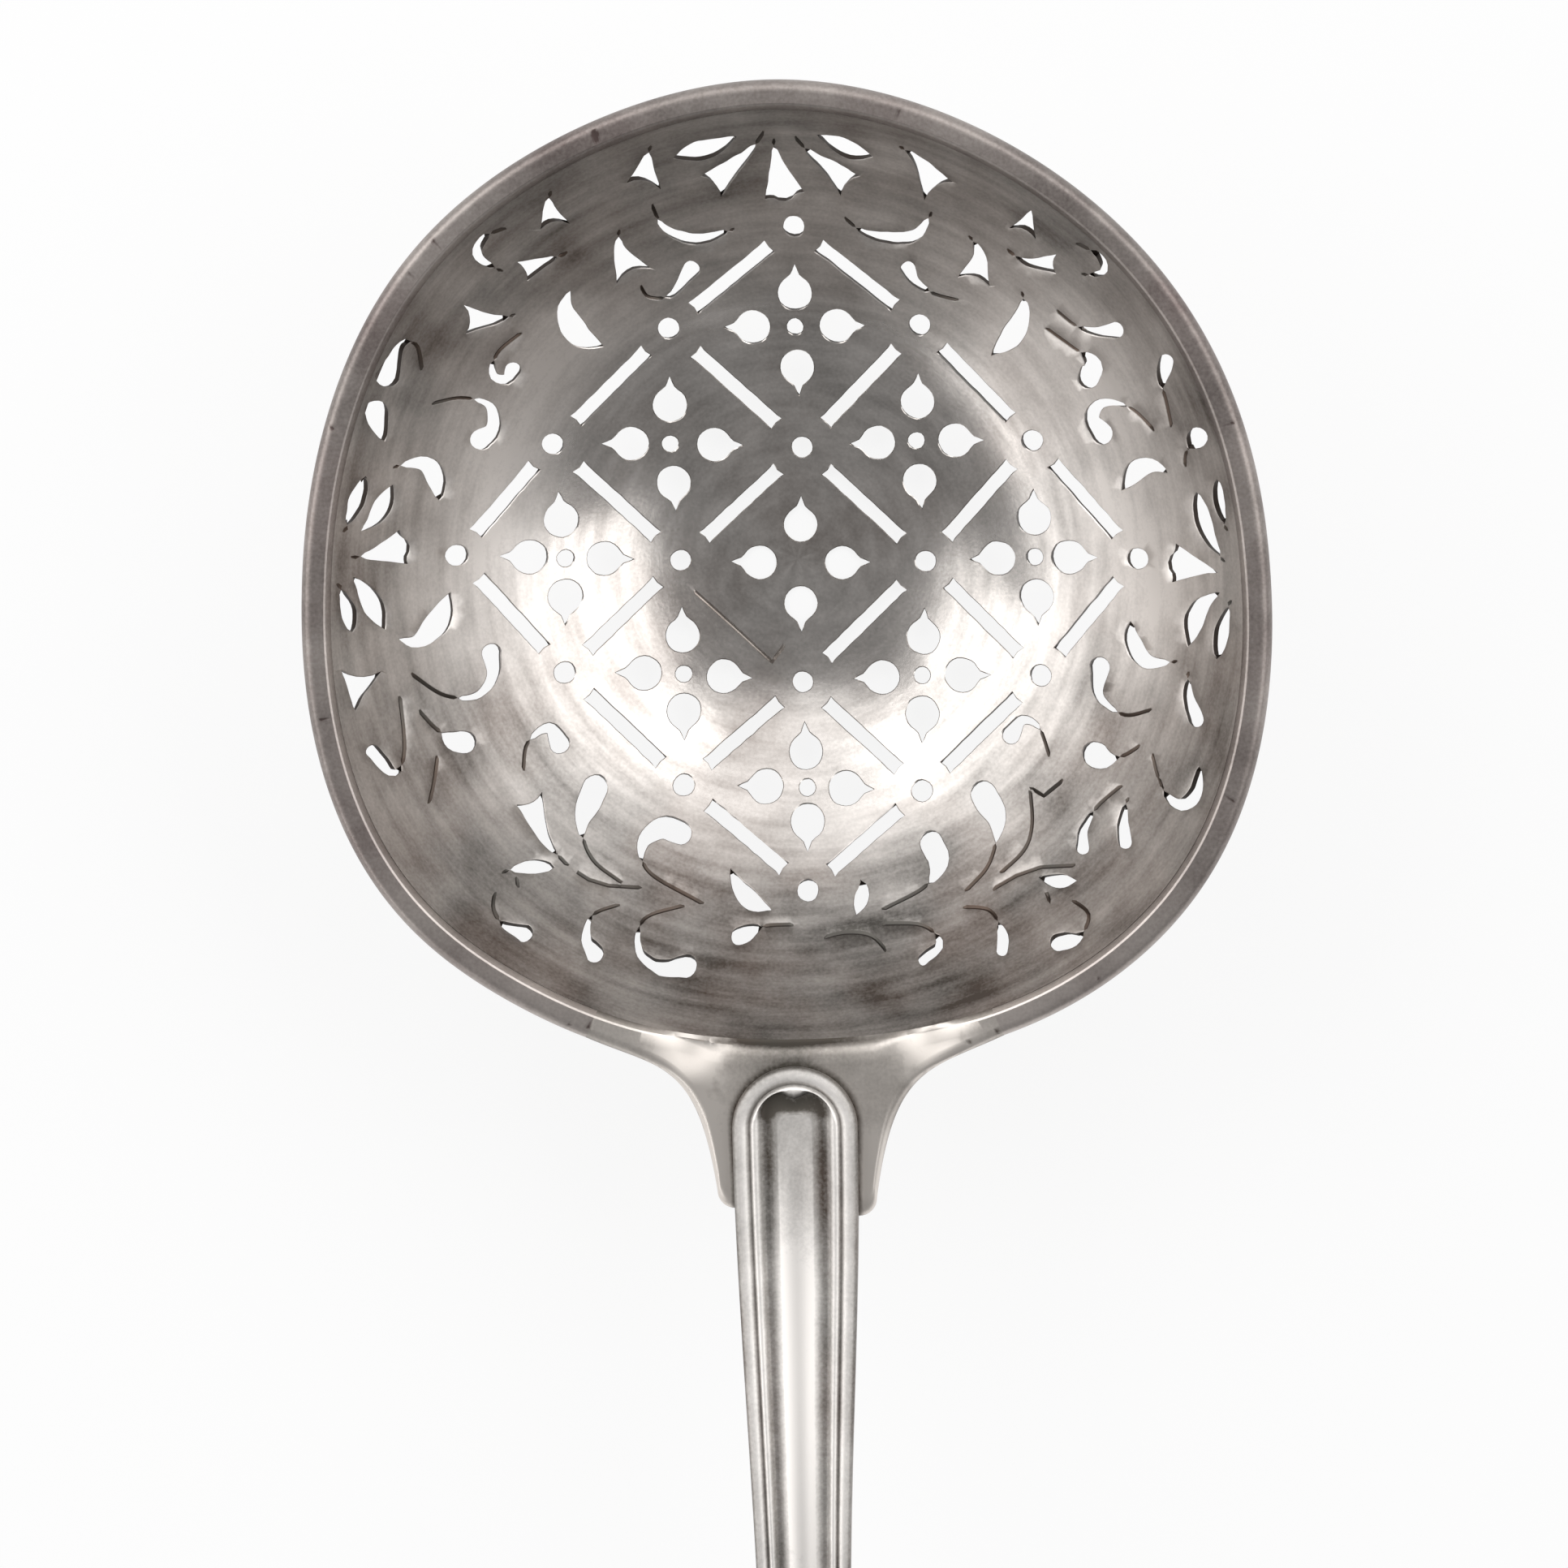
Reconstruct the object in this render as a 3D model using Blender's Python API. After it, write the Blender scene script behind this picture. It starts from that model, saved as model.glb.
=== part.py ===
"""Silver sugar sifter spoon: pierced bowl, rim band, winged neck and thread-edged handle.

Metres, +Z up. The bowl stands on the origin and the handle runs towards -Y.
"""

import math

import bpy
from mathutils import Vector
from mathutils.geometry import delaunay_2d_cdt

for old in list(bpy.data.objects):
    bpy.data.objects.remove(old, do_unlink=True)

# Bowl: raised from sheet, with a small flat planished under it to stand on.
MOUTH_WIDTH = 0.0662
MOUTH_LENGTH = 0.0678
BOWL_DEPTH = 0.0217
BOWL_WALL = 0.0005
REST_RADIUS = 0.0045
TIP_SQUARENESS = 1.92
HANDLE_SQUARENESS = 2.30
HIP_SWELL = 0.06
HIP_LEAN = 0.07

# Rim band: half-round wire with a rebate that sits over the bowl's lip.
BAND_WIDTH = 0.0019
BAND_HEIGHT = 0.0024
BAND_CROWN = 0.00035
LIP_SEAT = 0.0008
BAND_OPENING = math.radians(24.5)

# Neck: two wings along the lip, a flare to rounded shoulders and a heel under the bowl.
SHOULDER_WIDTH = 0.0116
SHOULDER_REACH = 0.0462
SHOULDER_ROUND = 0.0009
FLARE_RIM = 0.0060
FLARE_STEM = 0.0097
FLARE_SPREAD = 0.0014
NECK_EDGE = 0.0005
HEEL_DROP = 0.0070
HEEL_THICKNESS = 0.0011
HEEL_SPREAD = math.radians(9.0)

# Handle: tongue lapped on the neck, slim stem, fiddle-shaped end.
TONGUE_REACH = 0.0354
TONGUE_WIDTH = 0.0091
TONGUE_ARCH = 0.0045
TONGUE_THICKNESS = 0.0012
STEM_WIDTH = 0.0066
STEM_NARROWEST = 0.080
STEM_THICKNESS = 0.0032
ARCH_HEIGHT = 0.0011
ARCH_TOP = 0.068
FIDDLE_START = 0.121
FIDDLE_THROAT = 0.0108
FIDDLE_SHOULDER = 0.0172
FIDDLE_WIDTH = 0.0228
FIDDLE_STEP = 0.006
HANDLE_END = 0.172
END_ROUND = 0.012
END_THICKNESS = 0.0022

# Border struck round the handle's face: two threads, a channel and a crowned panel.
EDGE_ROUND = 0.0003
OUTER_THREAD = 0.0007
THREAD_GROOVE = 0.0004
INNER_THREAD = 0.00045
CHANNEL_WIDTH = 0.00075
THREAD_DEPTH = 0.0003
CHANNEL_DEPTH = 0.0004
PANEL_CROWN = 0.00035

# Gap that the silver solder fills between pieces.
SOLDER_GAP = 0.00015

# Crease angle above which an edge of the silver stays crisp.
CREASE = math.radians(35.0)

# Piercing, drawn in millimetres as seen from above on a mouth of this size.
DRAWN_WIDTH = 66.2
DRAWN_LENGTH = 67.8
NODE_DOT = 1.55
MIDDLE_DOT = 1.25
SLOT_WIDTH = 0.98
SLOT_SHARE = 0.59
DROP_LENGTH = 3.35
DROP_WIDTH = 2.5
DROP_SHARE = 0.335
HAIR = 0.26
DOT_SIDES = 10
MESH_STEP = 3.3
LIP_SIDES = 96

# Lattice of diamonds marked out by eye: its nodes, row by row from the tip,
# the middles of the diamonds, and the one slot that was scribed but never sawn.
LATTICE_NODES = (
    ((0.7, 25.0), (-8.9, 17.6), (-17.7, 9.2), (-24.7, 1.3)),
    ((9.7, 17.5), (0.6, 8.4), (-8.7, 0.1), (-17.3, -7.9)),
    ((17.9, 8.8), (9.7, -0.3), (0.3, -9.2), (-8.6, -16.5)),
    ((25.5, 0.2), (18.2, -8.7), (9.2, -17.2), (0.7, -24.1)),
)
LATTICE_MIDDLES = (
    ((0.4, 17.5), (-9.2, 8.9), (-17.1, 0.6)),
    ((9.2, 8.8), (0.2, -0.4), (-8.6, -8.4)),
    ((17.9, 0.1), (9.3, -8.8), (0.6, -16.9)),
)
SCRIBED_SLOT = ((1, 2), (2, 2))

# Cuts of the border: kind, greatest width, then the points that the saw follows.
NORTH_PALMETTE = (
    ("lily", 2.9, (-0.35, 31.5), (-0.2, 29.6), (0.15, 27.3)),
    ("petal", 2.0, (-0.9, 32.0), (-2.2, 30.5), (-3.7, 29.3), (-5.1, 28.1)),
    ("petal", 2.0, (1.2, 31.6), (2.3, 30.3), (3.8, 29.1), (5.0, 27.9)),
    ("leaf", 1.4, (-2.7, 31.8), (-4.4, 31.0), (-6.0, 30.6), (-7.6, 30.2)),
    ("leaf", 1.3, (2.6, 31.8), (4.0, 31.1), (5.4, 30.4), (6.8, 30.0)),
)
WEST_PALMETTE = (
    ("lily", 2.6, (-31.6, 1.8), (-30.0, 1.9), (-28.2, 2.2)),
    ("leaf", 1.2, (-31.1, 3.5), (-29.8, 4.7), (-28.7, 6.9)),
    ("leaf", 1.0, (-31.9, 3.7), (-31.2, 5.4), (-30.3, 7.9)),
    ("leaf", 1.3, (-31.6, 0.6), (-30.7, -0.9), (-29.6, -3.7)),
    ("leaf", 0.9, (-32.4, 0.1), (-31.9, -1.7), (-31.6, -3.9)),
)
EAST_PALMETTE = (
    ("lily", 2.9, (31.5, -0.5), (29.9, -0.2), (28.1, 0.0)),
    ("leaf", 1.2, (31.7, 0.3), (30.5, 2.4), (29.7, 5.6)),
    ("leaf", 0.8, (31.9, 2.6), (31.4, 4.4), (31.2, 6.7)),
    ("leaf", 1.4, (31.5, -1.7), (29.8, -3.3), (29.0, -6.0)),
    ("leaf", 1.0, (32.1, -2.3), (31.5, -4.3), (31.0, -7.0)),
)
NORTH_WEST_SPRAY = (
    ("petal", 2.4, (-9.1, 31.2), (-9.5, 29.9), (-9.9, 28.2)),
    ("leaf", 0.8, (-9.5, 26.9), (-8.7, 25.1), (-6.4, 24.2), (-3.6, 24.9)),
    ("petal", 2.7, (-12.0, 25.1), (-12.0, 23.5), (-11.2, 21.6)),
    ("comma", 1.2, (-10.8, 20.9), (-10.2, 20.0), (-8.6, 20.1), (-7.0, 22.0)),
    ("petal", 2.1, (-16.4, 28.1), (-16.6, 26.9), (-16.4, 25.4)),
    ("leaf", 0.6, (-19.7, 25.5), (-21.2, 24.8), (-21.8, 23.4), (-20.3, 22.2)),
    ("petal", 1.5, (-15.7, 23.5), (-17.2, 22.9), (-19.0, 22.2)),
    ("leaf", 1.8, (-15.7, 20.9), (-16.2, 19.2), (-15.4, 17.3), (-13.7, 16.4)),
    ("petal", 2.1, (-19.7, 19.0), (-21.3, 18.7), (-23.2, 18.8)),
    ("comma", 1.1, (-19.4, 17.7), (-21.2, 16.2), (-21.6, 14.6), (-20.7, 14.2), (-20.2, 14.9)),
    ("comma", 0.8, (-26.3, 15.4), (-26.5, 17.1), (-27.3, 17.3), (-28.4, 15.4)),
    ("drop", 1.4, (-29.0, 9.9), (-29.3, 11.4), (-29.4, 12.5)),
    ("comma", 1.5, (-25.9, 12.7), (-23.8, 13.0), (-22.0, 12.3), (-21.8, 10.6), (-22.7, 9.8)),
    ("leaf", 1.3, (-28.7, 8.2), (-26.7, 8.3), (-25.9, 7.2), (-25.7, 5.2)),
)
NORTH_EAST_SPRAY = (
    ("petal", 2.5, (8.8, 30.8), (10.2, 29.5), (11.5, 27.4)),
    ("leaf", 0.9, (4.4, 25.6), (6.2, 24.3), (9.4, 24.1), (11.0, 25.9)),
    ("petal", 2.4, (13.6, 24.2), (14.3, 22.6), (13.8, 20.7)),
    ("comma", 1.1, (12.7, 19.3), (10.9, 19.8), (9.5, 20.7), (9.0, 21.7)),
    ("petal", 2.1, (18.3, 26.2), (18.0, 25.4), (17.5, 24.2)),
    ("leaf", 0.5, (21.4, 23.6), (23.0, 22.6), (23.3, 21.4), (21.7, 21.2)),
    ("petal", 1.4, (16.3, 23.1), (17.8, 22.1), (19.9, 22.0)),
    ("leaf", 1.6, (17.4, 20.0), (17.4, 18.4), (16.5, 16.6), (15.0, 15.2)),
    ("comma", 1.2, (19.8, 18.6), (21.3, 17.4), (22.7, 17.0), (24.1, 17.1)),
    ("curl", 1.1, (19.0, 17.3), (21.0, 15.8), (22.6, 14.8), (22.3, 13.6), (21.6, 13.9)),
    ("curl", 1.0, (28.1, 10.0), (27.7, 12.0), (27.4, 13.4), (27.7, 14.9)),
    ("curl", 1.4, (29.0, 7.1), (29.1, 8.2), (29.9, 9.4)),
    ("comma", 1.6, (26.9, 9.7), (25.2, 11.3), (23.2, 11.7), (22.3, 10.6), (23.0, 9.4)),
    ("leaf", 1.4, (28.0, 6.5), (26.8, 7.1), (25.6, 6.8), (24.4, 5.2)),
)
SOUTH_WEST_SPRAY = (
    ("leaf", 1.7, (-29.0, -4.4), (-27.5, -4.8), (-26.1, -3.5), (-25.2, -1.4)),
    ("comma", 1.3, (-28.0, -7.1), (-25.8, -8.9), (-23.6, -9.2), (-22.4, -7.8), (-22.5, -6.1)),
    ("petal", 1.6, (-31.2, -8.8), (-31.2, -7.9), (-31.1, -6.8)),
    ("curl", 1.5, (-27.5, -9.8), (-26.4, -11.2), (-25.2, -12.2), (-24.3, -12.5)),
    ("curl", 0.8, (-28.7, -8.6), (-28.4, -12.6), (-29.0, -14.1), (-30.4, -12.3)),
    ("drop", 0.8, (-26.2, -13.2), (-26.4, -15.0), (-26.7, -16.6)),
    ("comma", 1.4, (-20.3, -14.9), (-20.0, -12.9), (-18.5, -11.9), (-17.7, -13.1)),
    ("curl", 1.8, (-13.0, -23.2), (-15.2, -21.4), (-16.0, -19.0), (-15.1, -16.4)),
    ("petal", 1.9, (-16.9, -21.8), (-18.6, -19.8), (-19.8, -16.9)),
    ("petal", 1.6, (-16.4, -23.0), (-18.8, -21.7), (-21.9, -21.4)),
    ("comma", 1.1, (-22.0, -23.1), (-21.9, -24.8), (-20.6, -25.6), (-19.6, -26.1)),
    ("comma", 1.2, (-13.1, -24.6), (-15.0, -25.2), (-15.4, -26.6), (-14.7, -27.7)),
    ("comma", 1.5, (-8.4, -24.9), (-11.3, -25.7), (-11.6, -27.7), (-10.0, -28.9), (-8.1, -28.9)),
    ("curl", 1.6, (-7.0, -24.9), (-11.3, -22.4), (-11.6, -20.3), (-9.9, -19.3), (-9.4, -20.1)),
    ("leaf", 1.3, (-5.2, -22.3), (-4.4, -23.8), (-3.4, -24.8), (-2.0, -25.4)),
    ("comma", 1.2, (-0.3, -26.4), (-2.6, -26.5), (-4.3, -27.1)),
)
SOUTH_EAST_SPRAY = (
    ("leaf", 1.3, (28.3, -7.2), (26.0, -7.3), (25.0, -5.8), (24.9, -4.2)),
    ("comma", 1.4, (26.4, -10.8), (24.3, -11.3), (22.5, -10.0), (22.6, -7.9)),
    ("drop", 1.1, (29.0, -7.8), (29.0, -9.6), (29.5, -11.2)),
    ("curl", 1.8, (25.5, -13.4), (24.3, -14.2), (23.1, -14.5), (22.1, -14.3)),
    ("comma", 0.8, (26.3, -13.9), (26.8, -16.7), (28.2, -17.2), (29.3, -15.9), (29.5, -14.6)),
    ("drop", 1.0, (24.5, -17.1), (24.1, -18.7), (24.2, -20.2)),
    ("comma", 1.3, (18.8, -14.6), (18.0, -12.5), (16.8, -12.0), (15.9, -13.1)),
    ("curl", 1.9, (12.4, -24.2), (14.2, -22.2), (14.8, -19.4), (13.8, -17.4)),
    ("leaf", 0.4, (15.0, -22.9), (16.8, -21.2), (17.4, -19.4), (17.3, -17.0)),
    ("comma", 1.0, (24.1, -16.3), (22.2, -18.0), (21.2, -19.6), (21.1, -20.8)),
    ("leaf", 1.2, (14.4, -24.0), (16.6, -23.1), (18.8, -23.1), (20.9, -22.9)),
    ("comma", 1.1, (20.3, -24.4), (21.5, -25.3), (20.8, -26.7), (19.2, -27.2)),
    ("comma", 1.1, (12.2, -25.2), (14.2, -25.4), (15.1, -26.8), (15.1, -27.9)),
    ("comma", 1.1, (6.2, -26.4), (9.2, -26.5), (10.5, -27.6), (9.3, -28.7)),
    ("curl", 1.7, (6.2, -25.5), (9.4, -23.9), (10.4, -22.2), (9.9, -20.9)),
    ("leaf", 1.2, (4.5, -22.9), (4.8, -23.9), (4.6, -24.9), (4.2, -26.0)),
    ("leaf", 0.8, (1.9, -27.3), (3.6, -27.0), (5.4, -27.2), (6.6, -28.2)),
)
BORDER = (NORTH_PALMETTE + WEST_PALMETTE + EAST_PALMETTE + NORTH_WEST_SPRAY
          + NORTH_EAST_SPRAY + SOUTH_WEST_SPRAY + SOUTH_EAST_SPRAY)

# Sizes that follow from the driving dimensions.
HALF_MOUTH = MOUTH_WIDTH / 2
RIM_Z = BOWL_WALL + BOWL_DEPTH
REST_SAG = REST_RADIUS ** 2 * BOWL_DEPTH / (HALF_MOUTH ** 2 + BOWL_DEPTH ** 2)
CAP_DEPTH = BOWL_DEPTH + REST_SAG
BOWL_RADIUS = (HALF_MOUTH ** 2 + CAP_DEPTH ** 2) / (2 * CAP_DEPTH)
BOWL_CENTRE_Z = RIM_Z + BOWL_RADIUS - CAP_DEPTH
RIM_SLOPE = math.asin(HALF_MOUTH / BOWL_RADIUS)
LIP_Z = RIM_Z - LIP_SEAT
LIP_SLOPE = math.acos((BOWL_CENTRE_Z - LIP_Z) / BOWL_RADIUS)
LIP_SHARE = math.sin(LIP_SLOPE) / math.sin(RIM_SLOPE)
NECK_TOP = RIM_Z + BAND_CROWN
STEM_TOP = NECK_TOP + SOLDER_GAP + TONGUE_THICKNESS
STEM_BOTTOM = STEM_TOP - STEM_THICKNESS


def mouth_radius(angle):
    """Distance from the bowl's axis to the inner edge of the rim."""
    side, tip = abs(math.cos(angle)), math.sin(angle)
    power = (TIP_SQUARENESS + HANDLE_SQUARENESS + (TIP_SQUARENESS - HANDLE_SQUARENESS) * tip) / 2
    across = side * 2 / MOUTH_WIDTH
    along = abs(tip) * 2 / MOUTH_LENGTH
    hips = 1 - (HIP_SWELL - HIP_LEAN * tip) * tip * side ** 3
    return hips * (across ** power + along ** power) ** (-1 / power)


def wall_radius(angle, height, outward):
    """Distance from the axis to the bowl's inner surface, grown outward, at a height."""
    level = (BOWL_RADIUS + outward) ** 2 - (BOWL_CENTRE_Z - height) ** 2
    return mouth_radius(angle) / HALF_MOUTH * math.sqrt(max(level, 0.0))


def bowl_point(x, y, outward):
    """Point of the bowl's inner surface above (x, y), moved outward along its normal."""
    angle = math.atan2(y, x)
    share = math.hypot(x, y) / mouth_radius(angle)
    slope = math.asin(min(share * math.sin(RIM_SLOPE), 0.999))
    height = BOWL_CENTRE_Z - BOWL_RADIUS * math.cos(slope)
    if height <= BOWL_WALL:
        return Vector((x, y, BOWL_WALL - outward))
    reach = outward * math.sin(slope)
    return Vector((x + reach * math.cos(angle), y + reach * math.sin(angle),
                   height - outward * math.cos(slope)))


def make_object(name, points, faces, colour, roughness):
    """One closed body with its own silver material."""
    mesh = bpy.data.meshes.new(name)
    mesh.from_pydata([tuple(p) for p in points], [], faces)
    mesh.validate()
    mesh.shade_smooth()
    mesh.set_sharp_from_angle(angle=CREASE)
    body = bpy.data.objects.new(name, mesh)
    bpy.context.scene.collection.objects.link(body)
    silver = bpy.data.materials.new(name)
    silver.use_nodes = True
    shader = silver.node_tree.nodes["Principled BSDF"]
    shader.inputs["Base Color"].default_value = (*colour, 1.0)
    shader.inputs["Metallic"].default_value = 1.0
    shader.inputs["Roughness"].default_value = roughness
    mesh.materials.append(silver)
    return body


def loft(rings, capped=True):
    """Skin rings of equal length, the first and last closed by a face each."""
    count = len(rings[0])
    points = [p for ring in rings for p in ring]
    faces = []
    for r in range(len(rings) - 1):
        for i in range(count):
            j = (i + 1) % count
            faces.append((r * count + i, r * count + j, (r + 1) * count + j, (r + 1) * count + i))
    if capped:
        last = (len(rings) - 1) * count
        faces.append(tuple(range(count - 1, -1, -1)))
        faces.append(tuple(range(last, last + count)))
    return points, faces


def ease(share):
    """Smooth step from 0 to 1."""
    share = min(max(share, 0.0), 1.0)
    return share * share * (3 - 2 * share)


# Piercing pattern, in drawn millimetres.

def swell(kind, share):
    """Share of the full width at a share of the length of a cut."""
    if kind in ("petal", "lily"):
        return share ** 1.3
    if kind == "drop":
        return math.sin(share * math.pi / 2)
    if kind == "leaf":
        return math.sin(share ** 1.25 * math.pi)
    if kind == "comma":
        return share ** 1.5
    return ease((share - 0.45) / 0.45)


def smooth_path(points, count):
    """Evenly spaced points of a rounded curve through the given points."""
    ends = [points[0] * 2 - points[1]] + points + [points[-1] * 2 - points[-2]]
    dense = []
    for a, b, c, d in zip(ends, ends[1:], ends[2:], ends[3:]):
        for k in range(12):
            t = k / 12
            dense.append(b + ((c - a) * t + (a * 2 - b * 5 + c * 4 - d) * t * t
                              + (b * 3 - a - c * 3 + d) * t ** 3) / 2)
    dense.append(points[-1])
    lengths = [0.0]
    for a, b in zip(dense, dense[1:]):
        lengths.append(lengths[-1] + (b - a).length)
    path, k = [], 0
    for i in range(count):
        goal = lengths[-1] * i / (count - 1)
        while k < len(dense) - 2 and lengths[k + 1] < goal:
            k += 1
        share = (goal - lengths[k]) / (lengths[k + 1] - lengths[k])
        path.append(dense[k].lerp(dense[k + 1], share))
    return path


def brush_cut(kind, width, *points):
    """Outline of one border cut, swelling along its path like a brush stroke."""
    count = len(points) + 3
    path = smooth_path([Vector(p) for p in points], count)
    left, right = [], []
    for i, place in enumerate(path):
        along = (path[min(i + 1, count - 1)] - path[max(i - 1, 0)]).normalized()
        side = Vector((-along.y, along.x))
        half = (HAIR + (width - HAIR) * swell(kind, i / (count - 1))) / 2
        left.append(place + side * half)
        right.append(place - side * half)
    if kind == "petal":
        end = [path[-1] - along * width * 0.16]
    elif kind == "lily":
        waist, lobe = side * width * 0.2, path[-1] + along * width * 0.27
        notch = path[-1] - along * width * 0.05
        end = [notch + waist, lobe + waist * 0.5, lobe - waist * 0.5, notch - waist]
    elif kind == "leaf":
        end = []
    else:
        lean = (along + side).normalized() * half
        end = [path[-1] + lean, path[-1] + along * half, path[-1] + lean.reflect(side)]
    return left + end + right[::-1]


def dot(place, width):
    """Round hole."""
    steps = (2 * math.pi * k / DOT_SIDES for k in range(DOT_SIDES))
    return [place + Vector((math.cos(a), math.sin(a))) * width / 2 for a in steps]


def slot(start, end):
    """Straight saw cut on the line between two nodes."""
    middle, along = (start + end) / 2, (end - start) / 2 * SLOT_SHARE
    side = Vector((-along.y, along.x)).normalized() * SLOT_WIDTH / 2
    return [middle - along - side, middle - side, middle + along - side,
            middle + along + side, middle + side, middle - along + side]


def drop(middle, node):
    """Round hole with a nib drawn out towards a node."""
    along = (node - middle).normalized() * DROP_LENGTH
    side = Vector((-along.y, along.x)).normalized() * DROP_WIDTH
    place = middle + (node - middle) * DROP_SHARE
    outline = [place + along * 0.62, place + along * 0.44 + side * 0.12]
    for k in range(9):
        a = math.radians(40 + 280 * k / 8)
        outline.append(place + along * 0.38 * math.cos(a) + side * 0.5 * math.sin(a))
    return outline + [place + along * 0.44 - side * 0.12]


def lattice_cuts():
    """Outlines of the dots, slots and drops that make the lattice of diamonds."""
    nodes = {(i, j): Vector(p) for i, row in enumerate(LATTICE_NODES) for j, p in enumerate(row)}
    cuts = [dot(place, NODE_DOT) for place in nodes.values()]
    for (i, j), place in nodes.items():
        for other in ((i + 1, j), (i, j + 1)):
            if other in nodes and ((i, j), other) != SCRIBED_SLOT:
                cuts.append(slot(place, nodes[other]))
    for i, row in enumerate(LATTICE_MIDDLES):
        for j, place in enumerate(row):
            middle = Vector(place)
            if i != 1 or j != 1:
                cuts.append(dot(middle, MIDDLE_DOT))
            for corner in ((i, j), (i + 1, j), (i, j + 1), (i + 1, j + 1)):
                cuts.append(drop(middle, nodes[corner]))
    return cuts


def inside(point, outline):
    """True where a point lies within a closed outline."""
    hit = False
    for a, b in zip(outline, outline[1:] + outline[:1]):
        if (a.y > point.y) != (b.y > point.y):
            if point.x < (b.x - a.x) * (point.y - a.y) / (b.y - a.y) + a.x:
                hit = not hit
    return hit


def build_bowl():
    """Raise the pierced sheet: lay out the cuts, mesh the metal left between them, curve it."""
    scale = Vector((MOUTH_WIDTH / DRAWN_WIDTH, MOUTH_LENGTH / DRAWN_LENGTH))
    cuts = lattice_cuts() + [brush_cut(*cut) for cut in BORDER]
    cuts = [[p * scale for p in cut] for cut in cuts]
    boxes = []
    for cut in cuts:
        xs, ys = [p.x for p in cut], [p.y for p in cut]
        boxes.append((min(xs), max(xs), min(ys), max(ys)))

    def in_cut(point, margin=0.0):
        for cut, (x0, x1, y0, y1) in zip(cuts, boxes):
            if x0 - margin < point.x < x1 + margin and y0 - margin < point.y < y1 + margin:
                if inside(point, cut) or any((point - p).length < margin for p in cut):
                    return True
        return False

    lip = []
    for k in range(LIP_SIDES):
        angle = 2 * math.pi * k / LIP_SIDES
        radius = mouth_radius(angle) * LIP_SHARE
        lip.append(Vector((radius * math.cos(angle), radius * math.sin(angle))))
    points, edges = [], []
    for outline in [lip] + cuts:
        start = len(points)
        points.extend(outline)
        edges.extend((start + k, start + (k + 1) % len(outline)) for k in range(len(outline)))
    step = MESH_STEP * scale.x
    for ring in range(1, int(HALF_MOUTH / step)):
        count = max(6, round(2 * math.pi * ring))
        for k in range(count):
            angle = 2 * math.pi * (k + ring / 2) / count
            place = Vector((math.cos(angle), math.sin(angle))) * ring * step
            if not in_cut(place, step * 0.28):
                points.append(place)
    points.append(Vector((0.0, 0.0)))
    flat, _, triangles, *_ = delaunay_2d_cdt(points, edges, [], 0, 1e-9)
    kept = []
    for triangle in triangles:
        middle = sum((flat[i] for i in triangle), Vector((0.0, 0.0))) / 3
        if not in_cut(middle):
            kept.append(tuple(triangle))
    used = sorted({i for triangle in kept for i in triangle})
    slot_of = {old: new for new, old in enumerate(used)}
    count = len(used)
    inner = [bowl_point(*flat[i], 0.0) for i in used]
    outer = []
    for i in used:
        angle = math.atan2(flat[i].y, flat[i].x)
        edge = mouth_radius(angle) * LIP_SHARE
        if flat[i].length > edge * 0.9995:
            reach = wall_radius(angle, LIP_Z, BOWL_WALL)
            outer.append(Vector((reach * math.cos(angle), reach * math.sin(angle), LIP_Z)))
        else:
            outer.append(bowl_point(*flat[i], BOWL_WALL))
    faces, sides = [], {}
    for triangle in kept:
        a, b, c = (slot_of[i] for i in triangle)
        faces.append((a, b, c))
        faces.append((c + count, b + count, a + count))
        for edge in ((a, b), (b, c), (c, a)):
            sides[edge] = True
    for a, b in sides:
        if (b, a) not in sides:
            faces.append((b, a, a + count, b + count))
    return make_object("pierced_bowl", inner + outer, faces, (0.52, 0.49, 0.46), 0.25)


def band_profile(angle):
    """Section of the rim band, as (distance from the axis, height) round the ring."""
    mouth = mouth_radius(angle)
    seat = LIP_Z + SOLDER_GAP
    section = [(wall_radius(angle, seat, 0.0), seat), (mouth, RIM_Z)]
    for k in range(8):
        a = math.pi * (0.5 - k / 7)
        section.append((mouth + BAND_WIDTH * (0.45 + 0.55 * math.cos(a)),
                        NECK_TOP - (BAND_HEIGHT + BAND_CROWN) * (1 - math.sin(a)) / 2))
    clear = BOWL_WALL + SOLDER_GAP
    for share in (0.0, 0.5, 1.0):
        height = RIM_Z - BAND_HEIGHT + (seat - RIM_Z + BAND_HEIGHT) * share
        section.append((wall_radius(angle, height, clear), height))
    return section


def build_band():
    """Sweep the band round the lip, open where the neck comes in."""
    gap_angle = BAND_OPENING + SOLDER_GAP / HALF_MOUTH
    sweep = 2 * (math.pi - gap_angle)
    count = 72
    rings = []
    for k in range(count + 1):
        angle = -math.pi / 2 + gap_angle + sweep * k / count
        rings.append([Vector((r * math.cos(angle), r * math.sin(angle), z))
                      for r, z in band_profile(angle)])
    return make_object("rim_band", *loft(rings), (0.50, 0.46, 0.43), 0.3)


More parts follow.
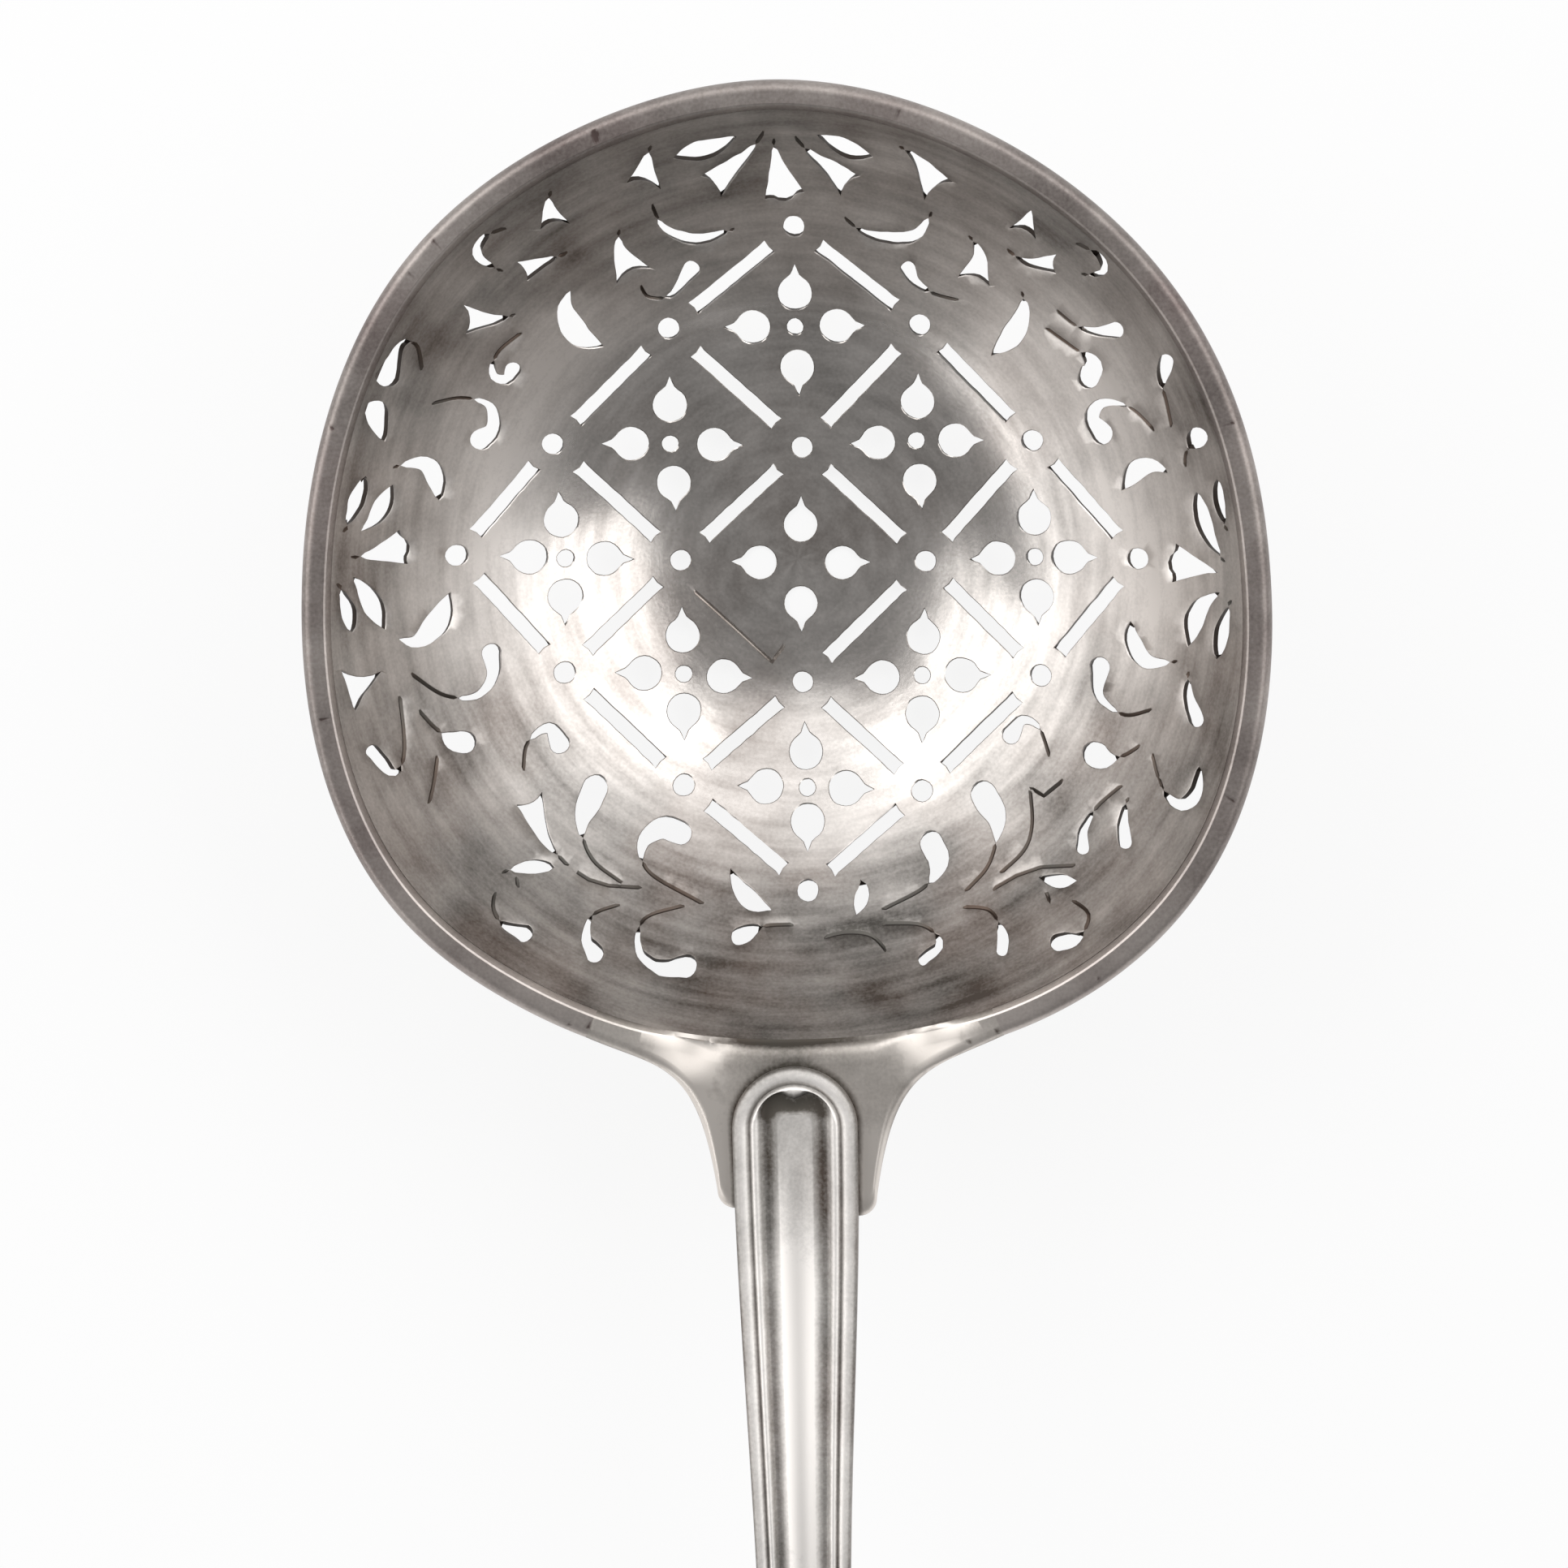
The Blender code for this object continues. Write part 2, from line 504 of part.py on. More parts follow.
def neck_outline():
    """Half of the neck's plan outline: from the wing's end to the shoulder and the middle."""
    angle = BAND_OPENING - math.pi / 2
    reach = mouth_radius(angle) + BAND_WIDTH
    wing = Vector((math.cos(angle), math.sin(angle))) * reach
    shoulder = Vector((SHOULDER_WIDTH / 2, SHOULDER_ROUND - SHOULDER_REACH))
    leave = wing + Vector((math.sin(angle), -math.cos(angle))) * FLARE_RIM
    arrive = shoulder + Vector((FLARE_SPREAD, FLARE_STEM))
    curve = []
    for k in range(11):
        t = k / 10
        curve.append(wing * (1 - t) ** 3 + leave * 3 * t * (1 - t) ** 2
                     + arrive * 3 * t * t * (1 - t) + shoulder * t ** 3)
    inner = SHOULDER_WIDTH / 2 - SHOULDER_ROUND
    for k in range(1, 4):
        a = math.pi / 6 * k
        curve.append(shoulder + Vector((math.cos(a) - 1, -math.sin(a))) * SHOULDER_ROUND)
    curve += [Vector((inner * (1 - k / 6), curve[-1].y)) for k in range(1, 7)]
    return curve


def neck_profile(tip):
    """Section of the neck on the line from the bowl's axis to a point of its outline."""
    angle = math.atan2(tip.y, tip.x)
    reach = tip.length
    mouth = mouth_radius(angle)
    seat = LIP_Z + SOLDER_GAP
    crown = mouth + BAND_WIDTH * 0.45
    section = [(wall_radius(angle, seat, 0.0), seat), (mouth, RIM_Z)]
    for k in range(5):
        section.append((crown + (reach - NECK_EDGE - crown) * k / 4, NECK_TOP))
    wing_bottom = RIM_Z - BAND_HEIGHT
    away = ease((reach - mouth - BAND_WIDTH) / (SHOULDER_REACH - mouth - BAND_WIDTH))
    bottom = wing_bottom + (STEM_BOTTOM - wing_bottom) * away
    section.append((reach, NECK_TOP - NECK_EDGE))
    section.append((reach, bottom + NECK_EDGE))
    section.append((reach - NECK_EDGE, bottom))
    lean = abs(angle + math.pi / 2) / HEEL_SPREAD
    drop = NECK_EDGE + HEEL_DROP * max(0.0, 1 - lean * lean)
    clear = BOWL_WALL + SOLDER_GAP
    top = min(bottom, wing_bottom + NECK_EDGE)
    for share in (0.0, 0.5, 0.85):
        thick = HEEL_THICKNESS * (1 - 0.6 * share)
        height = top - drop * share
        section.append((min(wall_radius(angle, height, clear + thick), reach - NECK_EDGE), height))
    for share in (1.0, 0.7, 0.35, 0.0):
        height = seat + (top - drop - seat) * share
        section.append((wall_radius(angle, height, clear), height))
    return section


def build_neck():
    """Loft the neck from wing to wing over the sections of its outline."""
    half = neck_outline()
    outline = [Vector((-p.x, p.y)) for p in half[:-1]] + half[::-1]
    rings = []
    for tip in outline:
        direction = tip.normalized()
        rings.append([Vector((direction.x * r, direction.y * r, z)) for r, z in neck_profile(tip)])
    return make_object("neck", *loft(rings), (0.60, 0.57, 0.54), 0.35)


def handle_half_width(y):
    """Half of the handle's width at a distance along the stem."""
    tongue_middle = TONGUE_REACH + TONGUE_ARCH
    taper = ease((y - tongue_middle) / (STEM_NARROWEST - tongue_middle))
    width = TONGUE_WIDTH + (STEM_WIDTH - TONGUE_WIDTH) * taper
    widen = ease((y - STEM_NARROWEST) / (FIDDLE_START - STEM_NARROWEST))
    width += (FIDDLE_THROAT - STEM_WIDTH) * widen ** 1.5
    width += (FIDDLE_SHOULDER - FIDDLE_THROAT) * ease((y - FIDDLE_START) / FIDDLE_STEP)
    end = HANDLE_END - END_ROUND
    width += (FIDDLE_WIDTH - FIDDLE_SHOULDER) * ease((y - FIDDLE_START - FIDDLE_STEP)
                                                     / (end - FIDDLE_START - FIDDLE_STEP))
    return width / 2


def handle_top(y):
    """Height of the handle's face: a low arch near the bowl, then a sweep to the table."""
    if y < ARCH_TOP:
        return STEM_TOP + ARCH_HEIGHT * ease((y - SHOULDER_REACH) / (ARCH_TOP - SHOULDER_REACH))
    fall = 1 - math.cos(math.pi * min((y - ARCH_TOP) / (HANDLE_END - ARCH_TOP), 1.0))
    return STEM_TOP + ARCH_HEIGHT - (STEM_TOP + ARCH_HEIGHT - END_THICKNESS) * fall / 2


def handle_bottom(y):
    """Height of the handle's back, stepped up where the tongue laps on the neck."""
    if y < SHOULDER_REACH + 1.5 * SOLDER_GAP:
        return NECK_TOP + SOLDER_GAP
    thin = max(0.0, (y - ARCH_TOP) / (HANDLE_END - ARCH_TOP))
    return handle_top(y) - STEM_THICKNESS + (STEM_THICKNESS - END_THICKNESS) * thin


def handle_stations():
    """Distances along the stem at which the handle's sides are drawn."""
    stops = (TONGUE_REACH + TONGUE_ARCH, SHOULDER_REACH + SOLDER_GAP, SHOULDER_REACH + 2 * SOLDER_GAP,
             ARCH_TOP, STEM_NARROWEST, FIDDLE_START, FIDDLE_START + FIDDLE_STEP, HANDLE_END - END_ROUND)
    parts = (2, 1, 5, 3, 6, 4, 5)
    stations = []
    for a, b, count in zip(stops, stops[1:], parts):
        stations += [a + (b - a) * k / count for k in range(count)]
    return stations + [stops[-1]]


def handle_ring(inset):
    """Plan outline of the handle drawn in by a distance: left side, end, right side, tongue."""
    half = []
    middle = TONGUE_REACH + TONGUE_ARCH
    for k in range(6):
        a = math.pi / 2 * k / 6
        half.append(((TONGUE_WIDTH / 2 - inset) * math.sin(a), middle - (TONGUE_ARCH - inset) * math.cos(a)))
    for y in handle_stations():
        slope = (handle_half_width(y + 0.0005) - handle_half_width(y - 0.0005)) / 0.001
        half.append((handle_half_width(y) - inset * math.hypot(1.0, slope), y))
    end = HANDLE_END - END_ROUND
    for k in range(1, 7):
        a = math.pi / 2 * k / 6
        half.append(((FIDDLE_WIDTH / 2 - inset) * math.cos(a), end + (END_ROUND - inset) * math.sin(a)))
    return [(-x, y) for x, y in half] + half[-2:0:-1]


def struck_border():
    """Section of the struck border, as (distance in from the edge, height against the face)."""
    inner = EDGE_ROUND + OUTER_THREAD + THREAD_GROOVE
    channel = inner + INNER_THREAD
    return ((0.0, -EDGE_ROUND), (EDGE_ROUND, 0.0), (EDGE_ROUND + OUTER_THREAD, 0.0),
            (inner - THREAD_GROOVE / 2, -THREAD_DEPTH), (inner, 0.0), (channel, 0.0),
            (channel + CHANNEL_WIDTH / 3, -CHANNEL_DEPTH), (channel + CHANNEL_WIDTH, -PANEL_CROWN / 2))


def build_handle():
    """Skin the handle over rings: back, edge and struck border, then close back and panel."""
    rings = []
    for inset, rise in ((2 * EDGE_ROUND, 0.0), (0.0, 2 * EDGE_ROUND)):
        rings.append([Vector((x, -y, handle_bottom(y) + rise)) for x, y in handle_ring(inset)])
    for inset, rise in struck_border():
        rings.append([Vector((x, -y, handle_top(y) + rise)) for x, y in handle_ring(inset)])
    points, faces = loft(rings, capped=False)
    count = len(rings[0])
    half = count // 2
    for ring, base, panel in ((rings[0], 0, False), (rings[-1], (len(rings) - 1) * count, True)):
        spine = {0: base, half: base + half}
        for i in range(1, half):
            spine[i] = len(points)
            y = -ring[i].y
            points.append(Vector((0.0, -y, handle_top(y) + PANEL_CROWN / 2 if panel else handle_bottom(y))))
        for i in range(half):
            left = (base + i, base + i + 1, spine[i + 1], spine[i])
            right = (base + (count - i) % count, spine[i], spine[i + 1], base + count - i - 1)
            for quad in (left, right):
                corners = tuple(dict.fromkeys(quad))
                faces.append(corners if panel else corners[::-1])
    return make_object("handle", points, faces, (0.66, 0.63, 0.60), 0.22)


build_bowl()
build_band()
build_neck()
build_handle()
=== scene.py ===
"""Looks of a silver sugar sifter spoon, dressed round its CAD solids.

Metres, +Z up. The bowl stands on the origin and the handle runs towards -Y.
"""

import math

import bpy
from mathutils import Matrix, Vector, kdtree, noise
from mathutils.geometry import delaunay_2d_cdt


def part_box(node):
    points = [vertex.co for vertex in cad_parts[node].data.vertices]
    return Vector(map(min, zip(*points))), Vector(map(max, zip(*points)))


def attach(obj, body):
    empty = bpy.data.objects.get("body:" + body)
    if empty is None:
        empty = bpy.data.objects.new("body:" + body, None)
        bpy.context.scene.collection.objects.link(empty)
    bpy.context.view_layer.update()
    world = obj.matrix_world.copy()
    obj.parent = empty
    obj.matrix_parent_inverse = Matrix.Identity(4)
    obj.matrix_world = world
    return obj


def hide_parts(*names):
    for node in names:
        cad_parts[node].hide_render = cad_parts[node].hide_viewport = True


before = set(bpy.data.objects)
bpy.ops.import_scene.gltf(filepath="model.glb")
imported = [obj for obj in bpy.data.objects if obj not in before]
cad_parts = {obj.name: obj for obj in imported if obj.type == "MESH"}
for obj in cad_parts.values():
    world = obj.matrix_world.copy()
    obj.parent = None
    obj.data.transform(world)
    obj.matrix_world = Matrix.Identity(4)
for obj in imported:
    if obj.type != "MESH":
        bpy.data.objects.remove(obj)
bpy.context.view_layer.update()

MM = 0.001

# Bowl: raised sheet, with a small flat planished under it.
# Wear, here and below, runs from 0 where silver is tarnished to 1 where it is rubbed bright; in places it
# also carries painted shade.
MOUTH_WIDTH = 66.2 * MM
MOUTH_LENGTH = 67.8 * MM
BOWL_DEPTH = 21.7 * MM
BOWL_WALL = 0.5 * MM
REST_RADIUS = 4.5 * MM
TIP_SQUARENESS = 1.92
HANDLE_SQUARENESS = 2.30
HIP_SWELL = 0.06
HIP_LEAN = 0.07
HAMMER_SIZE = 9.0 * MM
HAMMER_DEPTH = 0.035 * MM
SHEET_STEP = 0.62 * MM
SHEET_ROW = 0.866
SHEET_CLEARANCE = 0.55
LIP_STEP = 0.45 * MM
FLOOR_WEAR = 0.62
WALL_WEAR = 0.38
WALL_START = 18.0 * MM
WALL_BLEND = 9.0 * MM
LEFT_RUBBED_RING = 23.5 * MM
RIGHT_RUBBED_RING = 26.0 * MM
RUBBED_RING_WIDTH = 4.6 * MM
RING_WEAR = 0.95
TIP_RUBBED = 0.4
TIP_TARNISH = math.radians(25.0)
NECK_TARNISH = math.radians(120.0)
TARNISH_SPREAD = math.radians(25.0)
# Painted shade: the bowl's wall is darkened towards the neck.
NECK_SHADE = 0.14
NECK_SHADE_START = 20.0 * MM
BLOTCH_SIZE = 5.0 * MM
FINE_BLOTCH_SIZE = BLOTCH_SIZE / 2.3
BLOTCH_WEAR = 0.18
POLISH_END = 15.0 * MM
POLISH_BLEND = 10.0 * MM

# Where the mouth was raised out of true: degrees round the bowl, spread, and millimetres outward.
MOUTH_ERRORS = ((57.0, 25.0, -0.3), (138.0, 20.0, 0.5), (236.0, 14.0, -0.5), (325.0, 14.0, 0.15))

# Rim band: drawn wire with a nearly flat top, rebated over the lip.
BAND_WIDTH = 1.87 * MM
BAND_HEIGHT = 2.4 * MM
BAND_CROWN = 0.35 * MM
BAND_REACH = 0.9 * MM
BAND_SQUARENESS = 2.4
LIP_SEAT = 0.8 * MM
CHAMFER_END = 0.128 * MM
BAND_OPENING = math.radians(24.5)
RIM_DENT = 0.03 * MM
RIM_DENT_SIZE = 4.0 * MM
RIM_WEAR = 0.3
CHAMFER_RUBBED = 0.15
WING_DROP = 0.8 * MM
LEFT_WING_RUBBED = math.radians(12.5)
RIGHT_WING_RUBBED = math.radians(17.0)
WING_RUBBED_SPREAD = math.radians(4.0)
WING_RUBBED_WIDTH = BAND_WIDTH * 1.8
WING_WEAR = 0.7
RIM_BLOTCH = 1.3 * MM
RIM_SPECK = 0.5 * MM
BLACK_PIT = 0.1 * MM
BAND_STEPS = 1300

# Neck: two wings along the lip, a flare to rounded shoulders, a heel under the bowl.
SHOULDER_WIDTH = 11.6 * MM
LEFT_SHOULDER_REACH = 45.9 * MM
RIGHT_SHOULDER_REACH = 46.6 * MM
SHOULDER_ROUND = 1.3 * MM
FLARE_RIM = 6.0 * MM
FLARE_STEM = 9.7 * MM
FLARE_SPREAD = 1.4 * MM
NECK_EDGE = 1.6 * MM
NECK_SQUARENESS = 2.0
NECK_BLEND = 5.0 * MM
NECK_STEPS = 36
NECK_RUBBED = 0.42
NECK_RUBBED_END = math.radians(70.0)
SHOULDER_RUBBED = 0.5
SHOULDER_RUBBED_START = 37.0 * MM
SHOULDER_BLEND = 7.0 * MM
LIP_DIRT = 0.55
LIP_DIRT_REACH = 3.5 * MM
LIP_DIRT_SPREAD = 8.0 * MM
# Painted shade: the neck darkens down its rounded edge.
EDGE_SHADE = 0.5
EDGE_SHADE_START = 0.16 * MM
EDGE_SHADE_BLEND = 0.8 * MM
EDGE_SHADE_END = 1.2 * MM
EDGE_SHADE_FADE = EDGE_SHADE_BLEND / 1.4
# Painted shadow: the neck darkens to nothing within this distance of the tongue.
CORNER_SHADOW = 0.5 * MM
SOFT_LIP_WIDTH = 1.4 * MM
HEEL_EDGE = 0.6 * MM
HEEL_DROP = 7.0 * MM
HEEL_THICKNESS = 1.1 * MM
HEEL_SPREAD = math.radians(9.0)
HEEL_TAPER = 0.9
HEEL_END = 0.97

# Inner edge of the rim with its rubbed chamfer, and of the softer neck: millimetres out from the mouth,
# and height against their top. A section has the chamfer's three points after its first.
RUBBED_LIP = ((0.0, -0.11), (0.03, -0.08), (0.12, -0.05), (0.168, -0.015))
SOFT_LIP = ((0.0, -0.77), (0.12, -0.47), (0.42, -0.19), (0.85, -0.06))
CHAMFER_POINTS = (1, 2, 3)

# Handle: tongue lapped on the neck, slim stem, fiddle-shaped end.
TONGUE_REACH = 35.4 * MM
TONGUE_WIDTH = 9.1 * MM
TONGUE_ARCH = 4.5 * MM
TONGUE_THICKNESS = 1.2 * MM
STEM_WIDTH = 6.6 * MM
STEM_NARROWEST = 80.0 * MM
STEM_THICKNESS = 3.2 * MM
ARCH_HEIGHT = 1.1 * MM
ARCH_TOP = 68.0 * MM
FIDDLE_START = 121.0 * MM
FIDDLE_THROAT = 10.8 * MM
FIDDLE_SHOULDER = 17.2 * MM
FIDDLE_WIDTH = 22.8 * MM
FIDDLE_STEP = 6.0 * MM
END_ROUND = 12.0 * MM
END_THICKNESS = 2.2 * MM
PANEL_HEAD = 38.8 * MM
PANEL_CROWN = 0.35 * MM
BRACKET_HEAD = 37.15 * MM
BRACKET_CUSP = 0.55 * MM
CUSP_WIDTH = 0.8 * MM
BRACKET_SQUARENESS = 3.0
PANEL_SQUARENESS = 3.6
# Painted shade in the sunk recess at the panel's head.
BRACKET_SHADE = 0.3
BACK_WEAR = 0.5
PANEL_WEAR = 1.05
# Painted shade: the panel darkens towards its head.
PANEL_HEAD_SHADE = 0.45
PANEL_HEAD_REACH = 14.0 * MM
PANEL_RISE = 6.0 * MM
HEAD_DRAW = 0.85
BACK_RINGS = (0.05, 0.35, 0.7)
PANEL_RINGS = (0.9, 0.78, 0.64, 0.48, 0.32, 0.16, 0.05)

# Section of the rounded back edge in millimetres, from the back outward: distance in from the edge and rise.
BACK_EDGE = ((1.4, 0.0), (0.7, 0.04), (0.25, 0.18), (0.06, 0.4), (0.0, 0.7))

# Section of the struck border in millimetres: distance in from the edge, height against the face, and wear.
# The bracket at the panel's head starts at an inset and blends in.
STRUCK_BORDER = (
    (0.00, -0.60, 0.1), (0.02, -0.40, 0.15), (0.08, -0.23, 0.2), (0.18, -0.11, 0.3), (0.34, -0.04, 0.55),
    (0.54, -0.01, 0.85), (0.74, -0.02, 0.95), (0.92, -0.07, 0.85), (1.07, -0.16, 0.5), (1.17, -0.25, 0.35),
    (1.24, -0.29, 0.25), (1.31, -0.24, 0.35), (1.38, -0.14, 0.55), (1.48, -0.06, 0.9), (1.62, -0.02, 0.95),
    (1.76, -0.04, 0.9), (1.90, -0.12, 0.6), (2.04, -0.26, 0.4), (2.16, -0.38, 0.25),
)
CHANNEL_FLOOR = (
    (2.32, -0.43, 0.2), (2.56, -0.42, 0.22), (2.80, -0.36, 0.35), (3.02, -0.29, 0.6), (3.22, -0.23, 0.8),
)
BRACKET_INSET = 1.5
BRACKET_BLEND = 0.45

SOLDER_GAP = 0.15 * MM
CREASE = math.radians(32.0)

# Worn edges of the sawn cuts, the share of that wear by which their walls lean, and scribed lines.
EDGE_WEAR_WIDTH = 0.06 * MM
EDGE_WEAR_DEPTH = 0.05 * MM
CUT_OPENING = 0.55
SCRIBE_DEPTH = 0.12 * MM
STEM_DEPTH = 0.13 * MM
# Painted shade: the stem lines are coloured dark, as the shade in a hairline cut.
STEM_SHADE = 2.0

# Pits in the solder of rim and neck: degrees round the bowl, then distance out from the mouth,
# radius and depth in millimetres.
SOLDER_PITS = (
    (111.9, 1.0, 0.26, 0.08), (135.0, 1.1, 0.20, 0.06), (139.8, 0.8, 0.22, 0.07), (160.6, 1.2, 0.18, 0.06),
    (245.3, 0.9, 0.23, 0.08), (243.2, 1.3, 0.16, 0.06), (249.0, 0.7, 0.14, 0.05),
    (290.6, 1.5, 0.22, 0.08), (294.0, 1.3, 0.22, 0.08), (296.5, 0.8, 0.16, 0.06), (307.0, 1.2, 0.14, 0.05),
    (332.5, 0.9, 0.16, 0.05), (75.0, 0.9, 0.16, 0.04), (18.0, 1.1, 0.16, 0.05), (196.0, 1.0, 0.16, 0.05),
)

# Marks in the metal: swirls round the bowl, strokes along the handle, patches, specks and tints.
# Real polishing lines are finer: these are as coarse as they need to be to show in the render.
SWIRL_WIDTH = 1.1 * MM
SWIRL_BREAKS = 2.2
STROKE_WIDTH = 0.5 * MM
STROKE_LENGTH = 11.0 * MM
PATCH_SIZE = 7.0 * MM
PATCH_WEAR = 0.8
SPECK_SIZE = 0.25 * MM
SPECK_WEAR = 0.3
TINT_SIZE = 11.0 * MM
WEAR_START = 0.55
STREAK_GLOSS = 0.6

# Stage: how white the floor is by itself, the watts that make a square metre of lamp look white,
# and the photograph's width and scale in pixels.
FLOOR_WHITE = 0.85
LAMP_WATTS = 4.0
PHOTO_WIDTH = 1932
PIXELS_PER_METRE = 17070.0

# Piercing, drawn in millimetres as seen from above. A drop's nib and round are shares of its length and
# width, and the round is open towards the nib by twice DROP_MOUTH, in degrees.
CUT_STEP = 0.3
NODE_DOT = 1.55
MIDDLE_DOT = 1.25
SLOT_WIDTH = 0.98
SLOT_SHARE = 0.59
SLOT_FLARE = 0.1
DROP_LENGTH = 3.35
DROP_WIDTH = 2.5
DROP_SHARE = 0.335
DROP_NIB = ((0.64, 0.0), (0.52, 0.065), (0.42, 0.12), (0.35, 0.22))
DROP_ROUND = 0.38
DROP_MOUTH = 42.0
SAW_WIDTH = 0.3
SAW_WOBBLE = 0.05
WOBBLES_PER_MM = 1.4
WOBBLE_SEED = 1
SCRIBE_WIDTH = 0.3

# Lattice of diamonds marked out by eye: its nodes, row by row from the tip,
# the middles of the diamonds, and the one slot that was scribed but never sawn, with its line.
# The stem lines run on from border cuts and are painted dark, as the shade in hairline cuts.
LATTICE_NODES = (
    ((0.7, 25.0), (-8.9, 17.6), (-17.7, 9.2), (-24.7, 1.3)),
    ((9.7, 17.5), (0.6, 8.4), (-8.7, 0.1), (-17.3, -7.9)),
    ((17.9, 8.8), (9.7, -0.3), (0.3, -9.2), (-8.6, -16.5)),
    ((25.5, 0.2), (18.2, -8.7), (9.2, -17.2), (0.7, -24.1)),
)
LATTICE_MIDDLES = (
    ((0.4, 17.5), (-9.2, 8.9), (-17.1, 0.6)),
    ((9.2, 8.8), (0.2, -0.4), (-8.6, -8.4)),
    ((17.9, 0.1), (9.3, -8.8), (0.6, -16.9)),
)
SCRIBED_SLOT = ((1, 2), (2, 2))
SCRIBED_LINES = (
    ((-7.8, -2.2), (-2.0, -7.7), (-1.0, -6.4)),
)
STEM_LINES = (
    ((17.2, -16.8), (18.3, -17.4), (19.8, -16.2)),
    ((-20.5, -22.2), (-20.4, -23.0)),
    ((18.4, -24.0), (18.7, -24.8)),
    ((14.4, -24.0), (16.2, -23.0), (18.0, -22.35), (20.6, -22.1)),
    ((-16.3, -22.2), (-15.4, -22.8), (-14.0, -23.3), (-11.5, -23.6)),
    ((26.3, -13.9), (26.6, -15.2), (27.0, -16.3)),
)
SCRIBED_RING = (0.0, -0.5)
SCRIBED_RING_WIDTH = 1.8
SCRIBED_RING_DEPTH = SCRIBE_DEPTH * 0.2

# Blunt ends of border cuts, left to right in shares of the width: a petal's hollow and a lily's lobes.
BLUNT_ENDS = {
    "petal": ((0.3, -0.12), (0.1, -0.17), (-0.1, -0.17), (-0.3, -0.12)),
    "lily": ((0.38, 0.0), (0.26, 0.03), (0.16, 0.11), (0.0, 0.15),
             (-0.16, 0.11), (-0.26, 0.03), (-0.38, 0.0)),
}

# Cuts of the border: kind, greatest width, then the points that the saw follows.
NORTH_PALMETTE = (
    ("lily", 2.9, (-0.35, 31.5), (-0.2, 29.6), (0.15, 27.3)),
    ("petal", 2.0, (-0.9, 32.0), (-2.2, 30.5), (-3.7, 29.3), (-5.1, 28.1)),
    ("petal", 2.0, (1.2, 31.6), (2.3, 30.3), (3.8, 29.1), (5.0, 27.9)),
    ("leaf", 1.4, (-2.7, 31.8), (-4.4, 31.0), (-6.0, 30.6), (-7.6, 30.2)),
    ("leaf", 1.3, (2.6, 31.8), (4.0, 31.1), (5.4, 30.4), (6.8, 30.0)),
)
WEST_PALMETTE = (
    ("lily", 2.6, (-31.6, 1.8), (-30.0, 1.9), (-28.2, 2.2)),
    ("leaf", 1.2, (-31.1, 3.5), (-29.8, 4.7), (-28.7, 6.9)),
    ("leaf", 1.0, (-31.9, 3.7), (-31.2, 5.4), (-30.3, 7.9)),
    ("leaf", 1.3, (-31.6, 0.6), (-30.7, -0.9), (-29.6, -3.7)),
    ("leaf", 0.9, (-32.4, 0.1), (-31.9, -1.7), (-31.6, -3.9)),
)
EAST_PALMETTE = (
    ("lily", 2.9, (31.5, -0.5), (29.9, -0.2), (28.1, 0.0)),
    ("leaf", 1.2, (31.7, 0.3), (30.5, 2.4), (29.7, 5.6)),
    ("leaf", 0.8, (31.9, 2.6), (31.4, 4.4), (31.2, 6.7)),
    ("leaf", 1.4, (31.5, -1.7), (29.8, -3.3), (29.0, -6.0)),
    ("leaf", 1.0, (32.1, -2.3), (31.5, -4.3), (31.0, -7.0)),
)
NORTH_WEST_SPRAY = (
    ("petal", 2.4, (-9.1, 31.2), (-9.5, 29.9), (-9.9, 28.2)),
    ("leaf", 0.8, (-9.5, 26.9), (-8.7, 25.1), (-6.4, 24.2), (-3.6, 24.9)),
    ("petal", 2.7, (-12.0, 25.1), (-12.0, 23.5), (-11.2, 21.6)),
    ("comma", 1.2, (-10.8, 20.9), (-10.2, 20.0), (-8.6, 20.1), (-7.0, 22.0)),
    ("petal", 2.1, (-16.4, 28.1), (-16.6, 26.9), (-16.4, 25.4)),
    ("leaf", 0.6, (-19.7, 25.5), (-21.2, 24.8), (-21.8, 23.4), (-20.3, 22.2)),
    ("petal", 1.5, (-15.7, 23.5), (-17.2, 22.9), (-19.0, 22.2)),
    ("leaf", 1.8, (-15.7, 20.9), (-16.2, 19.2), (-15.4, 17.3), (-13.7, 16.4)),
    ("petal", 2.1, (-19.7, 19.0), (-21.3, 18.7), (-23.2, 18.8)),
    ("comma", 1.1, (-19.4, 17.7), (-21.2, 16.2), (-21.6, 14.6), (-20.7, 14.2), (-20.2, 14.9)),
    ("comma", 1.5, (-26.3, 15.2), (-26.5, 17.1), (-27.4, 17.2), (-28.5, 14.9)),
    ("drop", 1.4, (-29.0, 9.9), (-29.3, 11.4), (-29.4, 12.5)),
    ("comma", 1.5, (-25.9, 12.7), (-23.8, 13.0), (-22.0, 12.3), (-21.8, 10.6), (-22.7, 9.8)),
    ("leaf", 1.3, (-28.7, 8.2), (-26.7, 8.3), (-25.9, 7.2), (-25.7, 5.2)),
)
